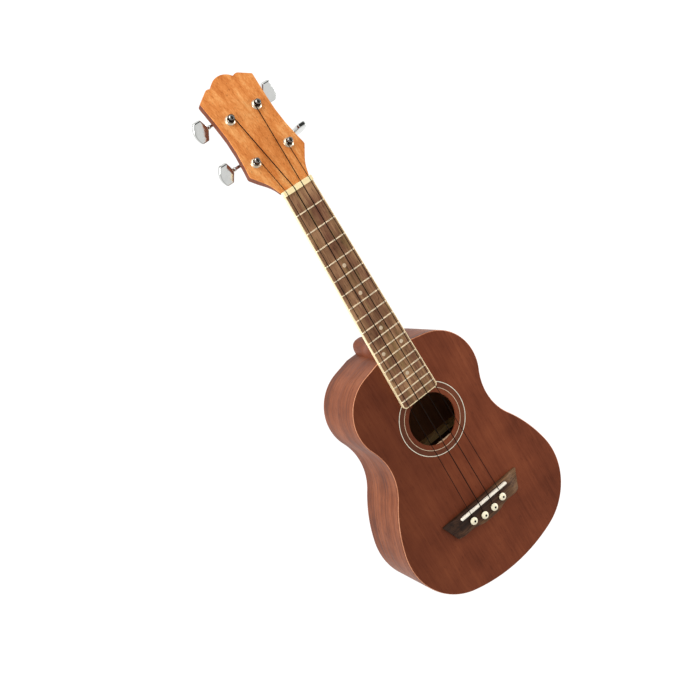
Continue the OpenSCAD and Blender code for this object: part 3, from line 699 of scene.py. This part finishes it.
def side_skin(side):
    """One bent rib, as a closed shell with its grain along the bend."""
    outer, inner = half_outline(CLEAR), half_outline(SIDE_T)
    inner[0] = (0.0, inner[0][1])
    outer.append((0.0, outer[-1][1]))
    inner.append((0.0, inner[-1][1]))
    seam = half_outline(SEAM) + [(0.0, JOINT_Y - SEAM)]
    z0, z1 = BACK_Z, TOP_UNDER
    levels = [(inner, z0), (seam, z0), (outer, z0 + SEAM), (outer, z0 + 12), (outer, (z0 + z1) / 2),
              (outer, z1 - 12), (outer, z1 - SEAM), (seam, z1), (inner, z1)]
    along = [0.0]
    for a, b in zip(outer, outer[1:]):
        along.append(along[-1] + math.dist(a, b))
    grain_start = 0.0 if side > 0 else 1.7
    verts, uvs = [], []
    for points, z in levels:
        for (x, y), s in zip(points, along):
            verts.append((side * x, y, z))
            uvs.append((s * MM + grain_start, z * MM))
    n, rows = len(outer), len(levels)
    faces = []
    for k in range(rows):
        m = (k + 1) % rows
        for i in range(n - 1):
            faces.append((k * n + i, k * n + i + 1, m * n + i + 1, m * n + i))
    faces.append(tuple(k * n for k in range(rows)))
    faces.append(tuple(k * n + n - 1 for k in range(rows))[::-1])
    name = "left" if side < 0 else "right"
    return make(f"side_{name}_skin", verts, faces, "side_wood", hides=[f"side_{name}"], uvs=uvs)


for side in (-1, 1):
    side_skin(side)

for node in ("neck_block", "tail_block", "bridge_plate", "neck_dowels", "top_lining", "back_lining"):
    cad(node, "inner_wood")
cad("top_braces", "brace_wood", 0.4)
cad("back_braces", "inner_wood", 0.8)
cad("rosette_outer_ring", "outer_ring")
cad("rosette_inner_ring", "inner_ring")


# ---- neck and head

HEAD = Matrix.Translation((0, NUT_END, FACE_Z)) @ Matrix.Rotation(-HEAD_TILT, 4, "X")


def on_head(x, up, out):
    """A place on the tilted head, from its own right, up and out of its face."""
    return HEAD @ Vector((x, up, out))


def board_half(dist):
    """Half the width of the fretboard, binding included, at a distance from the nut."""
    low = (nut_hi[0] - nut_lo[0]) / 2
    high = (board_hi[0] - board_lo[0]) / 2
    return low + (high - low) * dist / (NUT_Y - board_lo[1])


def head_outline():
    """The outline of the head, from the nut round the crown and back."""
    edge = [(17.3, 0, 0), (21.5, 12, 40), (33.4, 28.2, 2.5), (27.7, 62, 200), (31.3, HEAD_LEN - 14.2, 1.5),
            (17.8, HEAD_LEN - 5.4, 5), (13.2, HEAD_LEN - 6.8, 1)]
    r = 16.0
    crown = [(r * math.cos(math.radians(a)), HEAD_LEN - r + r * math.sin(math.radians(a)), 0)
             for a in range(40, 141, 5)]
    return rounded(edge + crown + [(-x, y, k) for x, y, k in reversed(edge)], step=6)


def offset(points, inset):
    """A closed outline moved inwards, for small insets."""
    p = np.array(points, float)
    ahead, behind = np.roll(p, -1, 0) - p, p - np.roll(p, 1, 0)
    n1 = np.stack([-ahead[:, 1], ahead[:, 0]], 1)
    n2 = np.stack([-behind[:, 1], behind[:, 0]], 1)
    n1 /= np.linalg.norm(n1, axis=1)[:, None] + 1e-12
    n2 /= np.linalg.norm(n2, axis=1)[:, None] + 1e-12
    n = n1 + n2
    n /= np.maximum(np.linalg.norm(n, axis=1)[:, None], 1e-9)
    cosine = np.maximum((n * n1).sum(1), 0.5)
    return [tuple(v) for v in p + n * (inset / cosine)[:, None]]


# How far the solids of the neck run past the planes that cut them.
OVER = 3.0


def shaft_shape():
    """Round sections of the neck's shaft, from inside the body to past the nut."""
    loops = []
    for d in np.linspace(-OVER, SCALE / 2 + 15, 60):
        half = board_half(SCALE / 2 - d)
        depth = NECK_DEPTHS[1] - (NECK_DEPTHS[1] - NECK_DEPTHS[0]) * d / (SCALE / 2)
        r = (half ** 2 + depth ** 2) / (2 * depth)
        rise = r - depth
        top = math.acos(min(1, rise / r)) if rise >= 0 else math.pi - math.acos(min(1, -rise / r))
        arc = [(r * math.sin(a), rise - r * math.cos(a)) for a in np.linspace(-top, top, 33)]
        loop = [(x, JOINT_Y + d, NECK_Z + z) for x, z in arc]
        loop += [(half, JOINT_Y + d, NECK_Z + OVER), (-half, JOINT_Y + d, NECK_Z + OVER)]
        loops.append(loop)
    return lofted(loops)


def heel_shape():
    """Flat slices of the heel, each with a round front, that get narrower towards the cap."""
    side_view = [(13.4, HEEL_H, 0), (12.8, 31, 24), (46, 12, 40), (70, 9, 0)]
    wide = board_half(SCALE / 2)
    squareness = 2 / 2.6
    loops = []
    for front, depth in dense(rounded(side_view, closed=False), 2.0):
        half = np.interp(depth, (0, 13, HEEL_H), (wide - 0.2, wide - 5.8, HEEL_CAP))
        z = NECK_Z - depth
        loop = []
        for a in np.linspace(0, math.pi, 37):
            c, s = math.cos(a), math.sin(a)
            x = half * math.copysign(abs(c) ** squareness, c)
            loop.append((x, JOINT_Y + front * abs(s) ** squareness, z))
        loop += [(-half, JOINT_Y - OVER, z), (half, JOINT_Y - OVER, z)]
        loops.append(loop)
    return lofted(loops)


def carved(x, up, out):
    """Narrows the back of the head near the nut, where it runs into the round shaft."""
    most, reach = 0.17, 22
    return x * (1 - most * smooth((reach - up) / reach) * min(1, -min(out, 0) / HEAD_T))


def head_shape():
    """The head, rounded at the back and carried past the veneer's plane."""
    ring = dense(head_outline(), 2.5, closed=True)
    levels = (1.4, -HEAD_T), (0.4, -HEAD_T + 0.4), (0.0, -HEAD_T + 1.4), (0.0, OVER)
    return lofted([[tuple(on_head(carved(x, y, out), y, out)) for x, y in offset(ring, inset)]
                   for inset, out in levels])


def build_neck():
    """One skin for shaft, heel and head: overlapping solids, remeshed, smoothed and cut by three planes."""
    verts, faces = joined([shaft_shape(), heel_shape(), head_shape()])
    mesh = bpy.data.meshes.new("neck_skin")
    mesh.from_pydata([Vector(v) * MM for v in verts], [], faces)
    bm = bmesh.new()
    bm.from_mesh(mesh)
    bmesh.ops.recalc_face_normals(bm, faces=bm.faces)
    bm.to_mesh(mesh)
    bm.free()
    obj = bpy.data.objects.new("neck_skin", mesh)
    bpy.context.scene.collection.objects.link(obj)
    remesh = obj.modifiers.new("remesh", "REMESH")
    remesh.mode = "VOXEL"
    remesh.voxel_size = 0.75 * MM
    even = obj.modifiers.new("even", "SMOOTH")
    even.factor, even.iterations = 0.5, 8
    dg = bpy.context.evaluated_depsgraph_get()
    done = bpy.data.meshes.new_from_object(obj.evaluated_get(dg))
    obj.modifiers.clear()
    bm = bmesh.new()
    bm.from_mesh(done)
    under_veneer = on_head(0, 0, -VENEER_T)
    head_normal = (HEAD.to_3x3() @ Vector((0, 0, 1))).normalized()
    planes = ((0, 0, NECK_Z), (0, 0, 1)), ((0, JOINT_Y, 0), (0, -1, 0)), (under_veneer, head_normal)
    for point, normal in planes:
        everything = bm.verts[:] + bm.edges[:] + bm.faces[:]
        cut = bmesh.ops.bisect_plane(bm, geom=everything, dist=1e-7, plane_co=Vector(point) * MM,
                                     plane_no=normal, clear_outer=True)
        rim = [e for e in cut["geom_cut"] if isinstance(e, bmesh.types.BMEdge)]
        bmesh.ops.holes_fill(bm, edges=[e for e in rim if e.is_boundary], sides=0)
    bmesh.ops.recalc_face_normals(bm, faces=bm.faces)
    bm.to_mesh(mesh)
    bm.free()
    mesh.materials.append(MAT["neck_wood"])
    adopt(obj, ROOT, ["neck"])


build_neck()


def veneer_skin():
    """The veneer on the face of the head, with a rounded edge."""
    ring = dense(head_outline(), 4, closed=True)
    levels = (0.0, -VENEER_T), (0.0, -0.45), (0.06, -0.22), (0.2, -0.06), (0.42, 0.0)
    loops = [[(x, y, out) for x, y in offset(ring, inset)] for inset, out in levels]
    loft("veneer_skin", loops, "veneer_wood", place=HEAD, hides=["headstock_veneer"])


veneer_skin()

cad("fretboard", "fretboard_wood")
cad("fretboard_binding", "binding", 0.25)


def fret_skins():
    """Fret wires with rounded crowns and rounded-off ends."""
    frets, half_wide, tall, sunk = 17, 0.8, 0.88, 0.3
    end_steps = (0.0, 0.35), (0.12, 0.75), (0.4, 1)
    parts = []
    for n in range(1, frets + 1):
        dist = SCALE * (1 - 2 ** (-n / 12))
        half = board_half(dist) - 0.35
        stations = [(step - half, grow) for step, grow in end_steps]
        stations += [(half - step, grow) for step, grow in reversed(end_steps)]
        loops = []
        for x, grow in stations:
            wide, high = half_wide * grow, tall * grow
            arc = [(wide * math.cos(a), high * math.sin(a)) for a in np.linspace(0, math.pi, 11)]
            arc += [(-wide, -sunk), (wide, -sunk)]
            loops.append([(x, NUT_Y - dist + y, BOARD_Z + z) for y, z in arc])
        parts.append(lofted(loops))
    make("fret_wires_skin", *joined(parts), "fret_metal", hides=["fret_wires"], merge=False)


fret_skins()
cad("fret_markers", "pearl")
cad("nut", "nut_bone", 0.3)


# ---- bridge, saddle and pins

def bridge_skin():
    """Sections across the bridge, each a rounded slab between its back and front edges."""
    front_y = SADDLE_Y + 4
    left = [(-BRIDGE_FRONT / 2, 0.5, 0), (-BRIDGE_BACK / 2, -BRIDGE_W, 3), (-22, 0.8 - BRIDGE_W, 30),
            (-11, -BRIDGE_W - BRIDGE_BELLY, 20)]
    back = rounded(left + [(-x, y, r) for x, y, r in reversed(left)], closed=False, step=3)
    back_x, back_y = [p[0] for p in back], [p[1] for p in back]
    half, thick = BRIDGE_FRONT / 2, bridge_hi[2] - TOP_Z
    corner_r, edge_r = 2.0, 1.3
    slope_start, slope_len = 35, 12
    quarter = np.linspace(0, math.pi / 2, 6)
    loops = []
    for share in np.linspace(-1, 1, 121):
        x = half * math.sin(math.pi / 2 * share)
        x = max(-half + 0.25, min(half - 0.25, x))
        past = max(0.0, abs(x) - half + corner_r)
        far = -max(0.0, corner_r - math.sqrt(max(0.0, corner_r ** 2 - past ** 2)))
        near = min(np.interp(x, back_x, back_y), far - 0.3)
        tall = BRIDGE_TIP_T + (thick - BRIDGE_TIP_T) * (1 - smooth((abs(x) - slope_start) / slope_len))
        r = min(edge_r, (far - near) / 2.2, tall * 0.6)
        section = [(near, 0)]
        section += [(near + r - r * math.cos(a), tall - r + r * math.sin(a)) for a in quarter]
        section += [(far - r + r * math.sin(a), tall - r + r * math.cos(a)) for a in quarter]
        section.append((far, 0))
        loops.append([(x, front_y + y, TOP_Z + z) for y, z in section])
    loft("bridge_skin", loops, "bridge_wood", hides=["bridge"], angle=50)


def stadium(length, width, inset, steps=12):
    """A slot shape: a straight bar with round ends."""
    half, r = length / 2 - width / 2, width / 2 - inset
    return [(s * half + r * math.cos(a), r * math.sin(a))
            for s, start in ((1, -math.pi / 2), (-1, math.pi / 2))
            for a in np.linspace(start, start + math.pi, steps)]


def saddle_skin():
    """The saddle, with a rounded top."""
    z0, z1 = saddle_lo[2], saddle_hi[2]
    length, width = saddle_hi[0] - saddle_lo[0], saddle_hi[1] - saddle_lo[1]
    r = 1.25
    levels = [(0.0, z0)] + edge_round(r, z1 - r, z1, 6)
    loops = [[(x, SADDLE_Y + y, z) for x, y in stadium(length, width, inset)] for inset, z in levels]
    loft("saddle_skin", loops, "bone", hides=["saddle"])


def pin_x(i):
    return (i - 1.5) * PIN_SPACING


def pin_y(i):
    return PIN_ROW - (PIN_SAG if i in (1, 2) else 0)


def pin_skin(i):
    """A turned pin with a skirt, a domed head and a dark dot let into it."""
    note = NOTES[i]
    body = f"pin_{note}"
    place = Matrix.Translation((pin_x(i), pin_y(i), bridge_hi[2]))
    head_r, dot_r = 4.2, 1.29
    shaft = [(0, -17.5), (1.7, -17.5), (2.4, -16.4), (2.5, -3), (2.5, 0.75), (3.0, 0.95), (3.8, 1.0),
             (4.1, 1.15), (head_r, 1.45), (4.18, 1.75)]
    dome = [(head_r * math.cos(a), 1.65 + 2.25 * math.sin(a)) for a in np.linspace(0.12, 1.26, 9)]
    seat = [(dot_r, 3.86), (dot_r - 0.08, 3.78), (0, 3.78)]
    dot = [(0, 3.3), (dot_r - 0.06, 3.3), (dot_r - 0.05, 3.84), (dot_r * 0.8, 3.93), (dot_r * 0.45, 3.97),
           (0, 3.98)]
    make(f"pin_{note}_skin", *turned(shaft + dome + seat), "pin_plastic", body=body,
         hides=[f"bridge_pin_{note}"], place=place)
    make(f"pin_dot_{note}", *turned(dot, 32), "dot_plastic", body=body, slot="pin_plastic", place=place)


bridge_skin()
saddle_skin()
for i in range(4):
    pin_skin(i)


# ---- tuning machines

def tuner_place(i):
    """The frame of tuning machine i on the head, with X outwards, to the nearer side."""
    x, up = POSTS[i]
    flip = Matrix.Diagonal((-1 if x < 0 else 1, 1, 1, 1))
    return HEAD @ Matrix.Translation((x, up, 0)) @ flip


def button_outline():
    """The half-moon outline of a button: shoulders, straight ends and a bowed outer edge."""
    long, half = BUTTON[0], BUTTON[1] / 2
    lower = [(0, -1.8, 1.0), (0.26 * long, -half, 1.5), (0.75 * long, -half, 2)]
    upper = [(x, -y, r) for x, y, r in reversed(lower)]
    return dense(rounded(lower + [(1.15 * long, 0, 18)] + upper, step=5), 0.8, closed=True)


def button_skin(i):
    """A half-moon button with soft edges and a collar, turned about its shaft."""
    note = NOTES[i]
    shaft = tuner_place(i) @ Matrix.Translation((0, WORM_UP, WORM_OUT))
    turn = Matrix.Rotation(math.radians(BUTTON_TURNS[i]), 4, "X")
    place = shaft @ turn @ Matrix.Translation((BUTTON_START, 0, 0))
    ring = button_outline()
    rim, crown = 1.3, 0.3
    edge = BUTTON[2] / 2 - crown
    middle = np.array([0.62 * BUTTON[0], 0.0])
    inner = np.array(offset(ring, rim))
    loops = []
    for share in np.linspace(0.04, 0.96, 9):
        z = edge + crown * (1 - share ** 2)
        loops.append([(x, y, z) for x, y in middle + (inner - middle) * share])
    for a in np.linspace(0, math.pi / 2, 7):
        inset, z = rim - rim * math.sin(a), edge - rim + rim * math.cos(a)
        loops.append([(x, y, z) for x, y in offset(ring, inset)])
    loops += [[(x, y, -z) for x, y, z in loop] for loop in reversed(loops)]
    to_shaft = Matrix.Translation((-3, 0, 0)) @ Matrix.Rotation(math.pi / 2, 4, "Y")
    collar = rounded([(0, 0), (2.1, 0, 0.4), (2.45, 1.2, 0.4), (2.0, 1.8, 0.3), (2.1, 3.2, 0.8),
                      (2.55, 5.0, 0), (0, 5.0)], closed=False)
    verts, faces = joined([lofted(loops), turned(collar, 40, to_shaft)])
    make(f"button_{note}_skin", verts, faces, "button_chrome", body=f"knob_{note}", hides=[f"button_{note}"],
         place=place, merge=False)


def post_skin(i):
    """A string post with a waist and a domed head, without the holes that the CAD post has. Its metal is the
    chrome darkened: painted shade in place of a dark reflection.
    """
    note = NOTES[i]
    head_r, top = 2.8, 8.18
    post = rounded([(0, -19.1), (2.45, -19.1), (2.45, -15.1), (3.0, -15.1), (3.0, 2.2, 0.3),
                    (WAIST_R, 2.8, 0.3), (WAIST_R, 6.2, 0.3), (head_r, 6.8, 0.3), (head_r, 7.4, 0)],
                   closed=False, step=15)
    dome = [(head_r * math.cos(a), 7.5 + 0.68 * math.sin(a)) for a in np.linspace(0.05, math.pi / 2, 9)]
    make(f"post_{note}_skin", *turned(post + dome[:-1] + [(0, top)]), "post_nickel", body=f"capstan_{note}",
         hides=[f"post_{note}"], place=tuner_place(i), slot="tuner_chrome")


def bushing_skins():
    """The four bushings that line the posts' holes on the face of the head."""
    profile = rounded([(3.06, -5.9), (4.18, -5.9), (4.18, 0), (5.25, 0, 0.05), (5.25, 0.35, 0.15),
                       (4.2, 1.35, 1.2), (3.5, 1.6, 0.2), (3.06, 1.6)], step=10)
    parts = [lathe_data(profile, 64, tuner_place(i)) for i in range(4)]
    make("bushings_skin", *joined(parts), "satin_nickel", slot="tuner_chrome", hides=["tuner_bushings"])


WAIST_R = 2.5
for i, note in enumerate(NOTES):
    button_skin(i)
    post_skin(i)
    cad(f"gear_{note}", "gear_brass", 0.12)
    cad(f"gear_screw_{note}", "tuner_chrome", 0.1)
    cad(f"worm_shaft_{note}", "tuner_chrome")
cad("tuner_plates", "tuner_chrome", 0.2)
cad("tuner_screws", "tuner_chrome", 0.08)
bushing_skins()


# ---- strings

WINDING_Z, TURNS_ON_POST, STEPS_A_TURN = 3.2, 3, 28
# Between a post's waist and its string, and between the turns as a share of the string's radius.
WRAP_GAP, TURN_PITCH = 0.02, 2.08


def wrap_radius(i):
    return WAIST_R + STRING_RS[i] + WRAP_GAP


def wrap_way(i):
    """Which way string i goes round its post: 1 or -1."""
    return -1 if POSTS[i][0] < 0 else 1


def tangent(i):
    """Where string i meets its winding, on the side that faces the middle of the head."""
    start, post = Vector(((i - 1.5) * NUT_SPACING, 0)), Vector(POSTS[i])
    wrap, far = wrap_radius(i), (post - start).length
    along = (post - start).normalized()
    lean = wrap_way(i) * math.asin(wrap / far)
    c, s = math.cos(lean), math.sin(lean)
    way = Vector((along.x * c - along.y * s, along.x * s + along.y * c))
    return start + way * math.sqrt(far * far - wrap * wrap)


def string_skin(i):
    """A string from the ball under the bridge, over saddle and nut, to its post."""
    note, r = NOTES[i], STRING_RS[i]
    x0, y0 = pin_x(i), pin_y(i) + 2.5 - 0.65
    under = TOP_UNDER - 2
    over_saddle, over_nut = saddle_hi[2] - 0.5 + r, BOARD_Z + 1 + r
    stop = tangent(i)
    sx, nx = (i - 1.5) * SADDLE_SPACING, (i - 1.5) * NUT_SPACING
    path = rounded_path([
        (x0, y0 + 1.8, under - 1.8), (x0, y0, under - 0.8), (x0, y0, bridge_hi[2] + 0.6),
        (sx, SADDLE_Y - 1.5, over_saddle), (sx, SADDLE_Y + 1.5, over_saddle),
        (nx, NUT_Y, over_nut), (nx, NUT_END, over_nut), tuple(on_head(stop.x, stop.y, WINDING_Z + r)),
    ], 1.4)
    knot, ball_r = Vector((x0, y0 + 2.6, under - 3.0)), 1.4
    half_circle = [(math.sin(a), -math.cos(a)) for a in np.linspace(0, math.pi, 9)]
    ball_verts, ball_faces = turned(half_circle, 16)
    ball = [knot + Vector(v) * ball_r for v in ball_verts], ball_faces
    verts, faces = joined([tube_data(path, r, 12), ball])
    make(f"string_{note}_skin", verts, faces, "string_nylon", hides=[f"string_{note}"], merge=False)


def winding_skin(i):
    """Turns of a string round its post. The end runs into the post, whose skin has no hole for it."""
    note, r = NOTES[i], STRING_RS[i]
    stop, wrap = tangent(i), wrap_radius(i)
    px, up = POSTS[i]
    start = math.atan2(stop.y - up, stop.x - px)
    path = []
    for k in range(STEPS_A_TURN * TURNS_ON_POST + 1):
        turns = k / STEPS_A_TURN
        a = start + wrap_way(i) * 2 * math.pi * turns
        z = WINDING_Z + r + TURN_PITCH * r * turns
        path.append((px + wrap * math.cos(a), up + wrap * math.sin(a), z))
    last = path[-1]
    inside_z = last[2] + 0.6
    path += [((last[0] + px) / 2, (last[1] + up) / 2, inside_z), (px, up, inside_z)]
    make(f"winding_{note}_skin", *tube_data(path, r, 10), "string_nylon", body=f"capstan_{note}",
         hides=[f"winding_{note}"], place=HEAD)


for i in range(4):
    string_skin(i)
    winding_skin(i)


# ---- floor, light and camera

# From here on, lengths are in metres.
FLOOR_HALF, FLOOR_Z, FLOOR_GLOW = 4.0, -0.0004, 1.0
SKY = 0.66
# Parts of the sky that differ: direction, where the change starts and ends as a cosine, and strength.
SKY_ZONES = (
    ((0.34, -0.68, 0.65), 0.90, 0.965, 0.98),
    ((0.38, -0.02, 0.92), 0.93, 0.975, 0.05),
    ((0.37, 0.43, 0.82), 0.95, 0.98, 0.05),
)


def stage_floor():
    """A white floor that glows, as in a photographer's tent."""
    mesh = bpy.data.meshes.new("floor")
    s, z = FLOOR_HALF, FLOOR_Z
    mesh.from_pydata([(-s, -s, z), (s, -s, z), (s, s, z), (-s, s, z)], [], [(0, 1, 2, 3)])
    look = Look("floor", Roughness=0.9, Specular_IOR_Level=0.1)
    cloud = look.noise(look.coords((3, 3, 3)), 1, 2)
    look.colour(look.mix(cloud, (0.1, 0.1, 0.1), (0.12, 0.12, 0.12)))
    look.put(look.bsdf.inputs["Emission Color"], (1, 1, 1, 1))
    look.put(look.bsdf.inputs["Emission Strength"], FLOOR_GLOW)
    mesh.materials.append(look.mat)
    floor = bpy.data.objects.new("floor", mesh)
    bpy.context.scene.collection.objects.link(floor)


def softbox(name, place, target, size, power):
    """A white rectangular lamp that faces a target."""
    lamp = bpy.data.lights.new(name, "AREA")
    lamp.shape = "RECTANGLE"
    lamp.size, lamp.size_y = size
    lamp.energy = power
    obj = bpy.data.objects.new(name, lamp)
    obj.location = place
    obj.rotation_mode = "QUATERNION"
    obj.rotation_quaternion = (Vector(target) - Vector(place)).to_track_quat("-Z", "Y")
    bpy.context.scene.collection.objects.link(obj)


def sky():
    """Soft studio light with one brighter panel and two dark gaps."""
    world = bpy.data.worlds.new("studio")
    world.use_nodes = True
    tree = world.node_tree
    back = tree.nodes["Background"]

    def node(kind, **props):
        n = tree.nodes.new("ShaderNode" + kind)
        for key, value in props.items():
            setattr(n, key, value)
        return n

    where = node("TexCoord")
    strength = SKY
    for towards, start, end, level in SKY_ZONES:
        dot = node("VectorMath", operation="DOT_PRODUCT")
        dot.inputs[1].default_value = Vector(towards).normalized()
        tree.links.new(where.outputs["Generated"], dot.inputs[0])
        fade = node("MapRange", interpolation_type="SMOOTHSTEP")
        tree.links.new(dot.outputs["Value"], fade.inputs["Value"])
        fade.inputs["From Min"].default_value = start
        fade.inputs["From Max"].default_value = end
        if isinstance(strength, float):
            fade.inputs["To Min"].default_value = strength
        else:
            tree.links.new(strength, fade.inputs["To Min"])
        fade.inputs["To Max"].default_value = level
        strength = fade.outputs["Result"]
    tree.links.new(strength, back.inputs["Strength"])
    back.inputs["Color"].default_value = (1, 1, 1, 1)
    bpy.context.scene.world = world


scene = bpy.context.scene
scene.view_settings.view_transform = "Standard"
scene.view_settings.look = "None"
stage_floor()
sky()
softbox("left", (-0.75, 0.36, 0.125), (0, -0.02, 0.05), (0.5, 0.24), 4.9)
softbox("right", (0.68, -0.16, 0.38), (0, -0.06, 0.05), (0.4, 0.4), 2.9)
softbox("head", (-0.10, 0.74, 0.48), (0, 0.22, 0.05), (0.35, 0.35), 2.2)

# The camera's place and the picture's right, down and forward directions, fitted to the photograph.
CAMERA_PLACE = Vector((-359.5141, 274.8796, 965.2692)) * MM
CAMERA_RIGHT = Vector((0.7595265, -0.4960340, 0.4207966))
CAMERA_DOWN = Vector((-0.5630130, -0.8253103, 0.0433497))
CAMERA_AHEAD = Vector((0.3257848, -0.2698392, -0.9061187))
SENSOR_WIDTH = 36
# The fitted focal length over the photograph's width, both in pixels.
FOCAL_SHARE = 992.486 / 700
camera_data = bpy.data.cameras.new("camera")
camera_data.sensor_width = SENSOR_WIDTH
camera_data.lens = SENSOR_WIDTH * FOCAL_SHARE
camera_data.clip_start, camera_data.clip_end = 0.01, 50
camera = bpy.data.objects.new("camera", camera_data)
turn = Matrix((CAMERA_RIGHT, -CAMERA_DOWN, -CAMERA_AHEAD)).transposed()
camera.matrix_world = Matrix.Translation(CAMERA_PLACE) @ turn.to_4x4()
scene.collection.objects.link(camera)
scene.camera = camera
